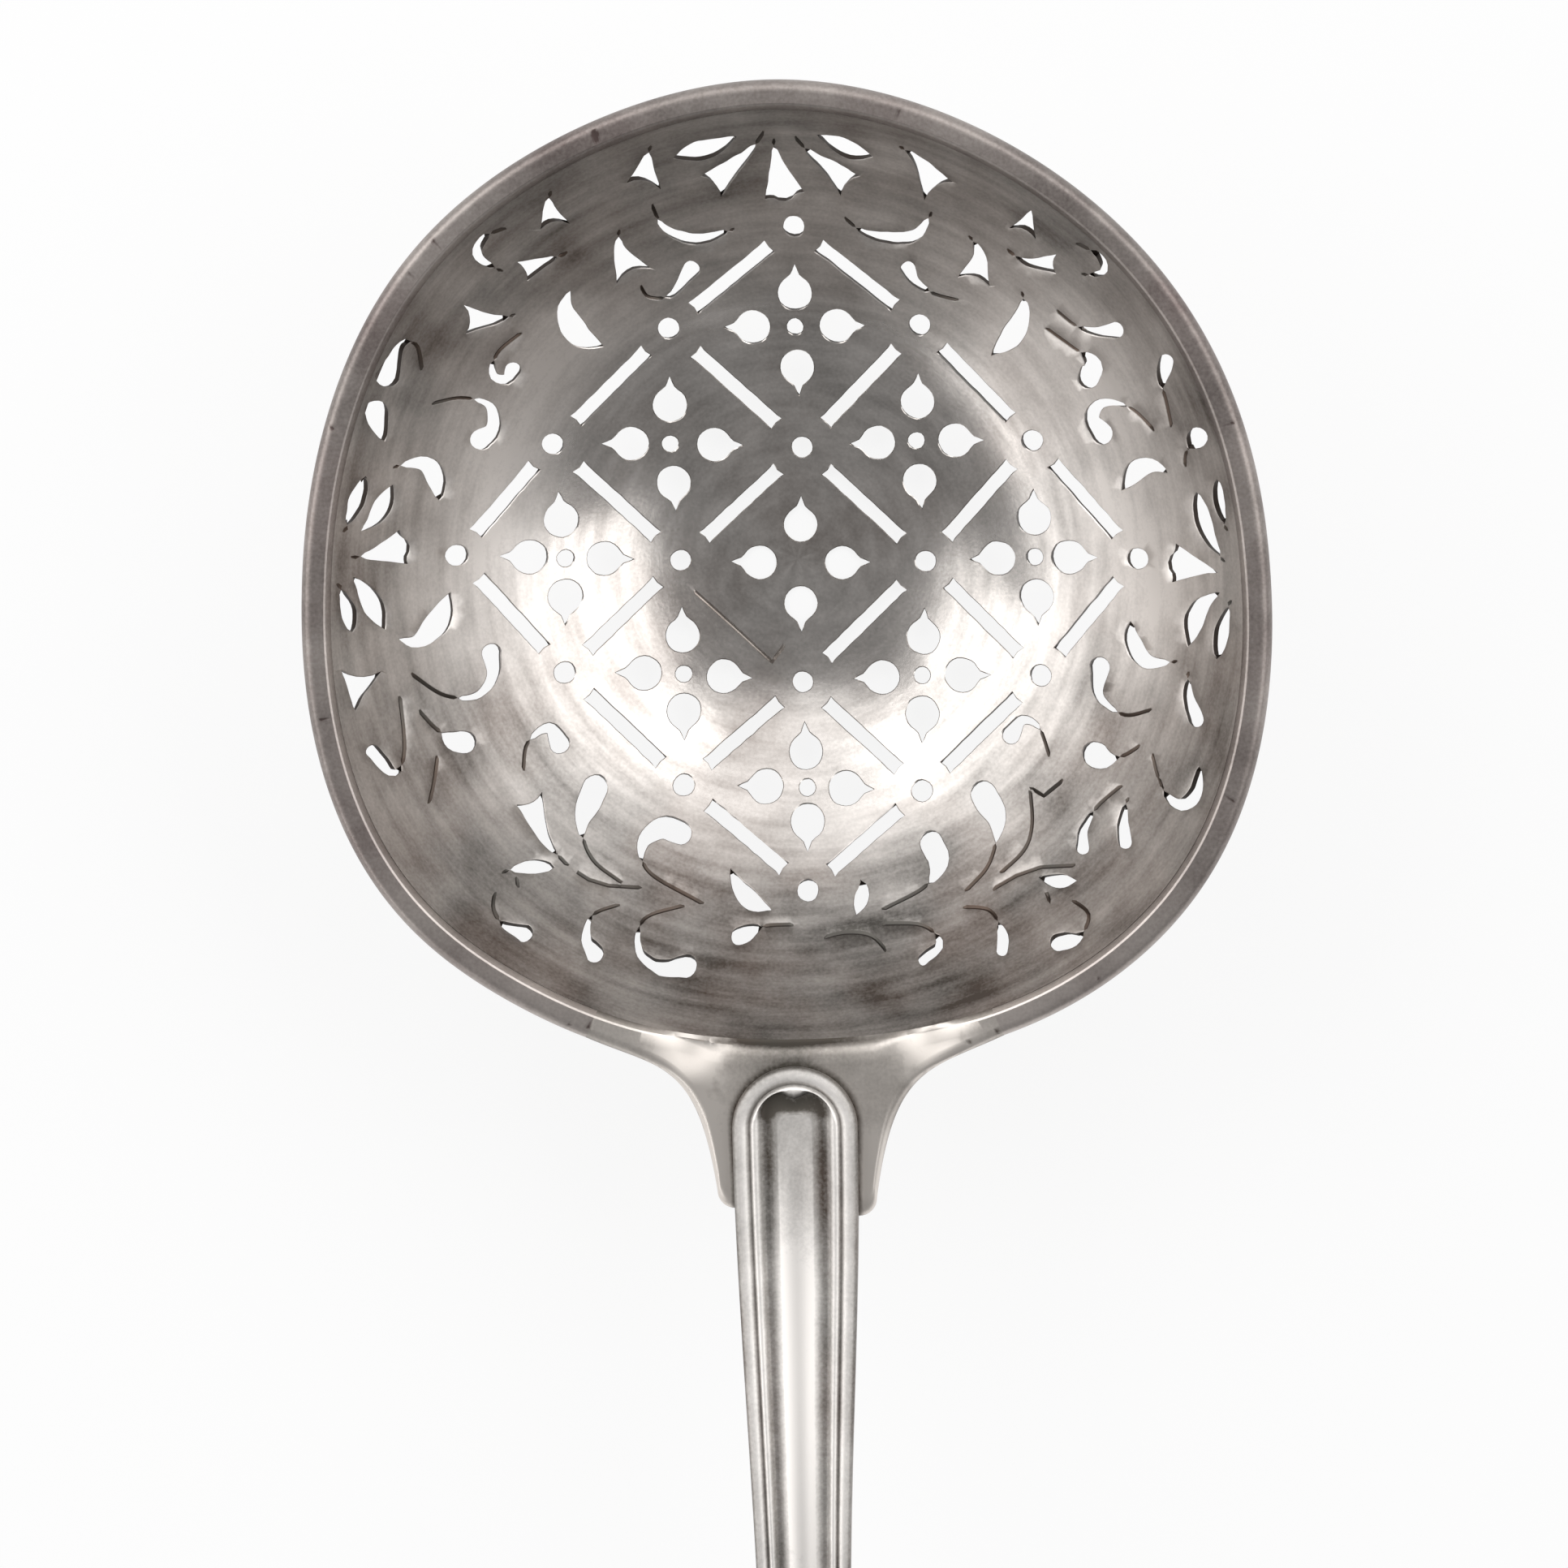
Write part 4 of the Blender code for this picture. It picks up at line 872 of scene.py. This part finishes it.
def make_band():
    """Spin the band's section round the lip and fit it to the mouth."""
    start = -math.pi / 2 - BAND_OPENING
    section = [Vector((HALF_MOUTH + out, 0.0, RIM_Z + up)) for out, up in band_section()]
    turn = Matrix.Rotation(start, 4, "Z")
    count = len(section)
    edges = [(i, (i + 1) % count) for i in range(count)]
    piece = begin("rim_band_silver", [turn @ p for p in section], edges)
    full_turn = 2 * (math.pi - BAND_OPENING)
    bpy.ops.mesh.spin(steps=BAND_STEPS, angle=full_turn, center=(0, 0, 0), axis=(0, 0, 1))
    close_ends()
    bpy.ops.object.mode_set(mode="OBJECT")
    wear = []
    for vertex in piece.data.vertices:
        angle = math.atan2(vertex.co.y, vertex.co.x)
        radius = mouth_radius(angle) + vertex.co.xy.length - HALF_MOUTH
        place = Vector((radius * math.cos(angle), radius * math.sin(angle), vertex.co.z))
        chamfer = vertex.co.z > RIM_Z and vertex.co.xy.length < HALF_MOUTH + CHAMFER_END
        wear.append(rim_wear(place) + CHAMFER_RUBBED * chamfer)
        vertex.co = worn_down(place)
    dress(piece, "rim_band", "band_silver", wear, wear, WIRE_SILVER)


def neck_outline(side):
    """Half of the neck's plan outline: from the wing's end to the shoulder and the middle."""
    angle = BAND_OPENING - math.pi / 2
    radius = mouth_radius(side * BAND_OPENING - math.pi / 2) + BAND_WIDTH
    wing = Vector((math.cos(angle), math.sin(angle))) * radius
    reach = LEFT_SHOULDER_REACH if side < 0 else RIGHT_SHOULDER_REACH
    shoulder = Vector((SHOULDER_WIDTH / 2, SHOULDER_ROUND - reach))
    leave = wing + Vector((math.sin(angle), -math.cos(angle))) * FLARE_RIM
    arrive = shoulder + Vector((FLARE_SPREAD, FLARE_STEM))
    curve = []
    for k in range(101):
        t = k / 100
        curve.append(wing * (1 - t) ** 3 + leave * 3 * t * (1 - t) ** 2
                     + arrive * 3 * t * t * (1 - t) + shoulder * t ** 3)
    for k in range(1, 9):
        a = math.pi / 16 * k
        curve.append(shoulder + Vector((math.cos(a) - 1, -math.sin(a))) * SHOULDER_ROUND)
    inner = SHOULDER_WIDTH / 2 - SHOULDER_ROUND
    curve += [Vector((inner * (1 - k / 10), curve[-1].y)) for k in range(1, 11)]
    return [Vector((p.x * side, p.y)) for p in curve]


def neck_spread(tip):
    """How far the neck has left the band's section at a point of its outline, from 0 to 1."""
    return ease((tip.length - mouth_radius(math.atan2(tip.y, tip.x)) - BAND_WIDTH) / NECK_BLEND)


def neck_section(tip):
    """Section of the neck on the line from the bowl's axis to a point of its outline."""
    angle = math.atan2(tip.y, tip.x)
    reach = tip.length
    mouth = mouth_radius(angle)
    away = reach - mouth - BAND_WIDTH
    spread = neck_spread(tip)
    wing_bottom = RIM_Z - BAND_HEIGHT
    full = RIGHT_SHOULDER_REACH - mouth - BAND_WIDTH
    bottom = wing_bottom + (STEM_BOTTOM - wing_bottom) * ease(away / full)
    section = [(wall_radius(angle, SEAT_Z, 0.0), SEAT_Z)]
    for (out, up), (soft_out, soft_up) in zip(RUBBED_LIP, SOFT_LIP):
        out += (soft_out - out) * spread
        up += (soft_up - up) * spread
        section.append((mouth + out * MM, NECK_TOP + up * MM))
    edge = BAND_REACH + (NECK_EDGE - BAND_REACH) * spread
    flat_start = mouth + BAND_WIDTH - BAND_REACH + (SOFT_LIP_WIDTH + BAND_REACH - BAND_WIDTH) * spread
    flat_end = reach - edge
    for k in range(NECK_STEPS):
        section.append((flat_start + (flat_end - flat_start) * k / NECK_STEPS, NECK_TOP))
    squareness = BAND_SQUARENESS + (NECK_SQUARENESS - BAND_SQUARENESS) * spread
    middle, rise = (NECK_TOP + bottom) / 2, (NECK_TOP - bottom) / 2
    section += [(flat_end + out, middle + up) for out, up in half_round(edge, rise, squareness)]
    lean = abs(angle + math.pi / 2) / HEEL_SPREAD
    drop_height = HEEL_EDGE + HEEL_DROP * max(0.0, 1 - lean * lean)
    top = min(bottom, wing_bottom + HEEL_EDGE)
    for k in range(9):
        share = HEEL_END * k / 8
        thick = HEEL_THICKNESS * math.sqrt(1 - share * share * HEEL_TAPER)
        height = top - drop_height * share
        section.append((min(wall_radius(angle, height, BOWL_WALL + thick), reach - edge), height))
    for share in (1.0, 0.7, 0.35, 0.0):
        height = SEAT_Z + (top - drop_height - SEAT_Z) * share
        section.append((wall_radius(angle, height, BOWL_WALL), height))
    return section


def neck_wear_and_shade(place):
    """Wear of the neck: as the rim's, rubbed at the shoulders, dark at the lip, with painted shade down its
    rounded edge and a painted shadow along the tongue.
    """
    wear = rim_wear(place) + SHOULDER_RUBBED * ease((-place.y - SHOULDER_RUBBED_START) / SHOULDER_BLEND)
    out = place.xy.length - mouth_radius(math.atan2(place.y, place.x))
    wear -= LIP_DIRT * (1 - ease(out / LIP_DIRT_REACH)) * (1 - ease(abs(place.x) / LIP_DIRT_SPREAD))
    # Painted shade, darker down the rounded edge.
    below = NECK_TOP - place.z
    fade = 1 - ease((below - EDGE_SHADE_END) / EDGE_SHADE_FADE)
    wear -= EDGE_SHADE * ease((below - EDGE_SHADE_START) / EDGE_SHADE_BLEND) * fade
    tongue_middle = TONGUE_REACH + TONGUE_ARCH
    if -place.y > tongue_middle:
        away = abs(place.x) - handle_half_width(-place.y)
    else:
        away = math.hypot(place.x, place.y + tongue_middle) - TONGUE_WIDTH / 2
    # Painted shadow along the tongue.
    return wear * ease(away / CORNER_SHADOW)


def make_neck():
    """Skin the neck's sections from wing to wing."""
    outline = neck_outline(-1)[:-1] + neck_outline(1)[::-1]
    rings = []
    for tip in outline:
        direction = tip.normalized()
        rings.append([Vector((direction.x * r, direction.y * r, z)) for r, z in neck_section(tip)])
    wear = [neck_wear_and_shade(place) for ring in rings for place in ring]
    for k, tip in enumerate(outline):
        for i in CHAMFER_POINTS:
            wear[k * len(rings[0]) + i] += CHAMFER_RUBBED * (1 - neck_spread(tip))
    rings = [[worn_down(place) for place in ring] for ring in rings]
    piece = skin_rings("neck_silver", rings)
    dress(piece, "neck", "neck_silver", wear, wear, NECK_SILVER)


def handle_half_width(y):
    """Half of the handle's width at a distance along the stem."""
    tongue_middle = TONGUE_REACH + TONGUE_ARCH
    taper = ease((y - tongue_middle) / (STEM_NARROWEST - tongue_middle))
    width = TONGUE_WIDTH + (STEM_WIDTH - TONGUE_WIDTH) * taper
    widen = ease((y - STEM_NARROWEST) / (FIDDLE_START - STEM_NARROWEST))
    width += (FIDDLE_THROAT - STEM_WIDTH) * widen ** 1.5
    width += (FIDDLE_SHOULDER - FIDDLE_THROAT) * ease((y - FIDDLE_START) / FIDDLE_STEP)
    end = HANDLE_END - END_ROUND
    width += (FIDDLE_WIDTH - FIDDLE_SHOULDER) * ease((y - FIDDLE_START - FIDDLE_STEP)
                                                     / (end - FIDDLE_START - FIDDLE_STEP))
    return width / 2


def handle_top(y):
    """Height of the handle's face: a low arch near the bowl, then a sweep to the table."""
    start = (LEFT_SHOULDER_REACH + RIGHT_SHOULDER_REACH) / 2
    if y < ARCH_TOP:
        return STEM_TOP + ARCH_HEIGHT * ease((y - start) / (ARCH_TOP - start))
    fall = 1 - math.cos(math.pi * min((y - ARCH_TOP) / (HANDLE_END - ARCH_TOP), 1.0))
    return STEM_TOP + ARCH_HEIGHT - (STEM_TOP + ARCH_HEIGHT - END_THICKNESS) * fall / 2


def handle_bottom(y):
    """Height of the handle's back, stepped up where the tongue laps on the neck."""
    if y < LEFT_SHOULDER_REACH - SOLDER_GAP:
        return NECK_TOP - SOLDER_GAP
    thin = max(0.0, (y - ARCH_TOP) / (HANDLE_END - ARCH_TOP))
    return handle_top(y) - STEM_THICKNESS + (STEM_THICKNESS - END_THICKNESS) * thin


def handle_stations():
    """Distances along the stem at which the handle's sides are drawn."""
    step = LEFT_SHOULDER_REACH - SOLDER_GAP
    stops = (TONGUE_REACH + TONGUE_ARCH, step - SOLDER_GAP / 2, step + SOLDER_GAP / 2, ARCH_TOP,
             STEM_NARROWEST, FIDDLE_START, FIDDLE_START + FIDDLE_STEP, HANDLE_END - END_ROUND)
    parts = (10, 1, 24, 12, 36, 14, 30)
    stations = []
    for a, b, count in zip(stops, stops[1:], parts):
        stations += [a + (b - a) * k / count for k in range(count)]
    return stations + [stops[-1]]


def handle_ring(inset, head=None, cusp=0.0, squareness=2.0):
    """Plan outline of the handle drawn in by a distance: left side, end, right side, tongue."""
    middle = TONGUE_REACH + TONGUE_ARCH
    head = TONGUE_REACH + inset if head is None else head
    half = []
    for k in range(24):
        a = math.pi / 2 * k / 24
        x = (TONGUE_WIDTH / 2 - inset) * math.sin(a) ** (2 / squareness)
        y = middle - (middle - head) * math.cos(a) ** (2 / squareness)
        half.append((x, y + cusp * math.exp(-(x / CUSP_WIDTH) ** 2)))
    for y in handle_stations():
        narrow = min(handle_half_width(y) * 2 / TONGUE_WIDTH, 1.0)
        slope = (handle_half_width(y + 0.5 * MM) - handle_half_width(y - 0.5 * MM)) / MM
        half.append((handle_half_width(y) - inset * narrow * math.hypot(1.0, slope), y))
    end = HANDLE_END - END_ROUND
    for k in range(1, 25):
        a = math.pi / 2 * k / 24
        half.append(((FIDDLE_WIDTH / 2 - inset) * math.cos(a), end + (END_ROUND - inset) * math.sin(a)))
    return [(-x, y) for x, y in half] + half[-2:0:-1]


def drawn_in(plan, share):
    """A plan outline of the handle drawn in to a share of its width, and as much at its ends."""
    head_end, tail_start = TONGUE_REACH + TONGUE_ARCH, HANDLE_END - END_ROUND
    drawn = []
    for x, y in plan:
        if y < head_end:
            y += (1 - share) * HEAD_DRAW * (head_end - y)
        if y > tail_start:
            y -= (1 - share) * (y - tail_start)
        drawn.append((x * share, y))
    return drawn


def head_shade(y):
    """Painted shade at the head of the panel, darker towards the head, at a distance along the stem."""
    return PANEL_HEAD_SHADE * (1 - ease((y - PANEL_HEAD) / PANEL_HEAD_REACH))


def make_handle():
    """Skin the handle's rings: back, edge, struck border and crowned panel."""
    rings, wear = [], []
    for share in BACK_RINGS:
        plan = drawn_in(handle_ring(BACK_EDGE[0][0] * MM), share)
        rings.append([Vector((x, -y, handle_bottom(y))) for x, y in plan])
        wear += [BACK_WEAR] * len(plan)
    border_foot = STRUCK_BORDER[0][1] * MM
    for inset, rise in BACK_EDGE:
        plan = handle_ring(inset * MM)
        ring = []
        for x, y in plan:
            height = min(handle_bottom(y) + rise * MM, handle_top(y) + border_foot)
            ring.append(Vector((x, -y, height)))
        rings.append(ring)
        wear += [BACK_WEAR] * len(plan)
    channel_edge, panel_edge = STRUCK_BORDER[-1][0], CHANNEL_FLOOR[-1][0]
    for inset, rise, worn in STRUCK_BORDER + CHANNEL_FLOOR:
        bracket = ease((inset - BRACKET_INSET) / BRACKET_BLEND)
        panel = max(0.0, (inset - channel_edge) / (panel_edge - channel_edge))
        head = TONGUE_REACH + inset * MM + (BRACKET_HEAD - TONGUE_REACH - channel_edge * MM) * bracket
        head += (PANEL_HEAD - BRACKET_HEAD - (inset - channel_edge) * MM) * panel
        squareness = 2 + (BRACKET_SQUARENESS - 2) * bracket
        squareness += (PANEL_SQUARENESS - BRACKET_SQUARENESS) * panel
        plan = handle_ring(inset * MM, head, BRACKET_CUSP * bracket * (1 - panel), squareness)
        rings.append([Vector((x, -y, handle_top(y) + rise * MM)) for x, y in plan])
        # Painted shade in the bracket's recess.
        painted_shade = BRACKET_SHADE * bracket * (1 - panel)
        for _, y in plan:
            near_bracket = ease((PANEL_HEAD + BRACKET_CUSP - y) / BRACKET_CUSP)
            wear.append(worn - painted_shade * near_bracket - panel * head_shade(y))
    panel = handle_ring(panel_edge * MM, PANEL_HEAD, 0.0, PANEL_SQUARENESS)
    for share in PANEL_RINGS:
        ring = []
        for x, y in drawn_in(panel, share):
            crown = PANEL_CROWN * (1 - share ** 2) * ease((y - PANEL_HEAD) / PANEL_RISE)
            ring.append(Vector((x, -y, handle_top(y) + CHANNEL_FLOOR[-1][1] * MM + crown)))
            wear.append(PANEL_WEAR - head_shade(y))
        rings.append(ring)
    piece = skin_rings("handle_silver", rings, closed_across=True)
    dress(piece, "handle", "handle_silver", wear, wear, STRUCK_SILVER)


# Materials.

def linear(hex_colour):
    """Linear colour of an sRGB hex value."""
    channels = [int(hex_colour[i:i + 2], 16) / 255 for i in (1, 3, 5)]
    return [c / 12.92 if c <= 0.04045 else ((c + 0.055) / 1.055) ** 2.4 for c in channels] + [1.0]


def add(tree, kind, links=(), values=(), **settings):
    """Add a node with its settings, set inputs and links."""
    node = tree.nodes.new(kind)
    for key, value in settings.items():
        setattr(node, key, value)
    for socket, value in dict(values).items():
        node.inputs[socket].default_value = value
    for socket, source in dict(links).items():
        tree.links.new(source, node.inputs[socket])
    return node


def silver(name, warm, cool, clean, polished, dull, grain, streaked, line_depth):
    """Silver, clean where it is worn, else tarnished brown or grey, with polishing lines; painted shade in
    the wear darkens it too.
    """
    material = bpy.data.materials.new(name)
    material.use_nodes = True
    tree = material.node_tree
    shader = tree.nodes["Principled BSDF"]
    shader.inputs["Metallic"].default_value = 1.0
    place = add(tree, "ShaderNodeTexCoord").outputs["Object"]
    if grain == "round":
        spread = add(tree, "ShaderNodeVectorMath", {0: place}, {1: (1, 1, 0)}, operation="MULTIPLY")
        around = add(tree, "ShaderNodeVectorMath", {0: spread.outputs[0]}, operation="NORMALIZE")
        turn = add(tree, "ShaderNodeVectorMath", {0: around.outputs[0]}, {"Scale": SWIRL_BREAKS},
                   operation="SCALE")
        reach = add(tree, "ShaderNodeVectorMath", {0: place}, operation="LENGTH")
        across = add(tree, "ShaderNodeMath", {0: reach.outputs["Value"]}, {1: 1 / SWIRL_WIDTH},
                     operation="MULTIPLY")
        lift = add(tree, "ShaderNodeCombineXYZ", {"Z": across.outputs[0]})
        lines = add(tree, "ShaderNodeVectorMath", {0: turn.outputs[0], 1: lift.outputs[0]}, operation="ADD")
    else:
        stretch = (1 / STROKE_WIDTH, 1 / STROKE_LENGTH, 1 / STROKE_WIDTH)
        lines = add(tree, "ShaderNodeVectorMath", {0: place}, {1: stretch}, operation="MULTIPLY")
    streak = add(tree, "ShaderNodeTexNoise", {"Vector": lines.outputs[0]},
                 {"Scale": 1.0, "Detail": 4.0, "Roughness": 0.55}).outputs["Fac"]
    patch = add(tree, "ShaderNodeTexNoise", {"Vector": place},
                {"Scale": 1 / PATCH_SIZE, "Detail": 4.0, "Roughness": 0.6}).outputs["Fac"]
    speck = add(tree, "ShaderNodeTexNoise", {"Vector": place},
                {"Scale": 1 / SPECK_SIZE, "Detail": 2.0}).outputs["Fac"]
    worn = add(tree, "ShaderNodeAttribute", attribute_name="wear").outputs["Fac"]
    for mark, share in ((patch, PATCH_WEAR), (streak, streaked), (speck, SPECK_WEAR)):
        worn = add(tree, "ShaderNodeMath", {0: mark, 2: worn}, {1: share},
                   operation="MULTIPLY_ADD").outputs[0]
    bare = WEAR_START + streaked / 2
    worn = add(tree, "ShaderNodeMapRange", {"Value": worn}, {"From Min": bare, "From Max": bare + 1})
    tint = add(tree, "ShaderNodeTexNoise", {"Vector": place}, {"Scale": 1 / TINT_SIZE, "Detail": 3.0})
    tarnish = add(tree, "ShaderNodeValToRGB", {"Fac": tint.outputs["Fac"]})
    for element, position, shade in zip(tarnish.color_ramp.elements, (0.4, 0.6), (warm, cool)):
        element.position = position
        element.color = linear(shade)
    colour = add(tree, "ShaderNodeMix", {"Factor": worn.outputs[0], "A": tarnish.outputs[0]},
                 {"B": linear(clean)}, data_type="RGBA")
    smooth = add(tree, "ShaderNodeAttribute", attribute_name="polish").outputs["Fac"]
    smooth = add(tree, "ShaderNodeMath", {0: streak, 2: smooth}, {1: STREAK_GLOSS}, operation="MULTIPLY_ADD")
    gloss = add(tree, "ShaderNodeMapRange", {"Value": smooth.outputs[0]},
                {"From Min": STREAK_GLOSS / 2, "From Max": STREAK_GLOSS / 2 + 1, "To Min": dull,
                 "To Max": polished})
    speckled = add(tree, "ShaderNodeBump", {"Height": speck}, {"Distance": line_depth / 2})
    brushed = add(tree, "ShaderNodeBump", {"Height": streak, "Normal": speckled.outputs[0]},
                  {"Distance": line_depth})
    tree.links.new(colour.outputs["Result"], shader.inputs["Base Color"])
    tree.links.new(gloss.outputs[0], shader.inputs["Roughness"])
    tree.links.new(brushed.outputs[0], shader.inputs["Normal"])
    return material


# A soft gleam with swirls on the floor, and brown-grey tarnish up the wall.
RAISED_SILVER = silver(
    "raised silver, polished round the bowl", warm="#62554d", cool="#5a5753", clean="#e8e2dd",
    polished=0.18, dull=0.46, grain="round", streaked=0.7, line_depth=0.004 * MM)
# Painted shade: the walls of the cuts are coloured dark and dull, so that each cut has a black edge.
SHADED_SAWN_SILVER = silver(
    "sawn silver, painted shade in the cuts", warm="#332c28", cool="#302c29", clean="#48403b",
    polished=0.5, dull=0.55, grain="round", streaked=0.3, line_depth=0.004 * MM)
# A brown-grey ring with pale rubbed spots.
WIRE_SILVER = silver(
    "tarnished silver wire", warm="#5c4d4b", cool="#5a514e", clean="#dcd4ce",
    polished=0.38, dull=0.5, grain="round", streaked=0.12, line_depth=0.002 * MM)
# A plain grey satin, with dirt at the lip and painted shade in its corners and down its edges.
NECK_SILVER = silver(
    "satin silver", warm="#5c524b", cool="#58544e", clean="#e0d9d2",
    polished=0.42, dull=0.52, grain="along", streaked=0.15, line_depth=0.002 * MM)
# Pale threads and panel between dark struck lines.
STRUCK_SILVER = silver(
    "struck silver, bright on the threads", warm="#5e544d", cool="#5a5650", clean="#fcf8f4",
    polished=0.56, dull=0.6, grain="along", streaked=0.15, line_depth=0.002 * MM)


# Stage: pale floor, three softboxes on the tip's side, a low one on the left, a dim room.

def floor_material():
    """White paper that stays white to the eye and in the metal, and still takes a faint shadow."""
    material = bpy.data.materials.new("white paper")
    material.use_nodes = True
    tree = material.node_tree
    tree.nodes.clear()
    matt = add(tree, "ShaderNodeBsdfDiffuse", (), {"Color": linear("#f2f2f2")})
    white = add(tree, "ShaderNodeEmission", (), {"Color": (1, 1, 1, 1), "Strength": 1.0})
    path = add(tree, "ShaderNodeLightPath")
    seen = path.outputs["Is Camera Ray"]
    for ray in ("Is Glossy Ray", "Is Transmission Ray"):
        seen = add(tree, "ShaderNodeMath", {0: seen, 1: path.outputs[ray]},
                   operation="ADD", use_clamp=True).outputs[0]
    share = add(tree, "ShaderNodeMath", {0: seen}, {1: FLOOR_WHITE}, operation="MULTIPLY")
    mix = add(tree, "ShaderNodeMixShader", {0: share.outputs[0], 1: matt.outputs[0], 2: white.outputs[0]})
    add(tree, "ShaderNodeOutputMaterial", {"Surface": mix.outputs[0]})
    return material


def softbox(name, azimuth, tilt, wide, tall, glow):
    """Light a metre from the bowl and aimed at it; glow is how bright its face looks, 1 being white."""
    data = bpy.data.lights.new(name, "AREA")
    data.shape = "RECTANGLE"
    data.size, data.size_y = wide, tall
    data.energy = glow * LAMP_WATTS * wide * tall
    lamp = bpy.data.objects.new(name, data)
    turn, lean = math.radians(azimuth), math.radians(tilt)
    away = Vector((math.sin(lean) * math.cos(turn), math.sin(lean) * math.sin(turn), math.cos(lean)))
    lamp.location = away
    lamp.rotation_euler = away.to_track_quat("Z", "Y").to_euler()
    lamp.visible_camera = False
    bpy.context.scene.collection.objects.link(lamp)


def make_stage():
    """Floor, lights and room."""
    bpy.ops.object.select_all(action="DESELECT")
    bpy.ops.mesh.primitive_circle_add(vertices=64, radius=4.0, fill_type="NGON")
    floor = bpy.context.object
    floor.name = "floor"
    floor.data.materials.append(floor_material())
    softbox("softbox right", azimuth=23, tilt=50, wide=1.1, tall=0.85, glow=1.5)
    softbox("softbox left", azimuth=147, tilt=54, wide=1.05, tall=0.8, glow=1.5)
    softbox("softbox tip", azimuth=90, tilt=55, wide=1.0, tall=1.12, glow=0.85)
    softbox("softbox low left", azimuth=200, tilt=68, wide=1.25, tall=0.28, glow=1.6)
    world = bpy.data.worlds.new("room")
    world.use_nodes = True
    world.node_tree.nodes["Background"].inputs["Color"].default_value = linear("#969696")
    world.node_tree.nodes["Background"].inputs["Strength"].default_value = 1.0
    bpy.context.scene.world = world
    bpy.context.scene.view_settings.view_transform = "Standard"


def make_camera():
    """Camera nearly above the bowl, as the photograph was taken."""
    eye = Vector((22.7, 32.3, 520.5)) * MM
    target = Vector((-0.3, -14.9, 22.5)) * MM
    roll = math.radians(-1.2)
    ahead = (target - eye).normalized()
    right = ahead.cross(Vector((0, 1, 0))).normalized()
    up = right.cross(ahead)
    side = right * math.cos(roll) + up * math.sin(roll)
    top = up * math.cos(roll) - right * math.sin(roll)
    data = bpy.data.cameras.new("camera")
    data.sensor_width = 36.0
    data.lens = PIXELS_PER_METRE * (target - eye).length / PHOTO_WIDTH * data.sensor_width
    camera = bpy.data.objects.new("camera", data)
    camera.matrix_world = Matrix.Translation(eye) @ Matrix((side, top, -ahead)).transposed().to_4x4()
    bpy.context.scene.collection.objects.link(camera)
    bpy.context.scene.camera = camera


make_bowl()
make_band()
make_neck()
make_handle()
make_stage()
make_camera()
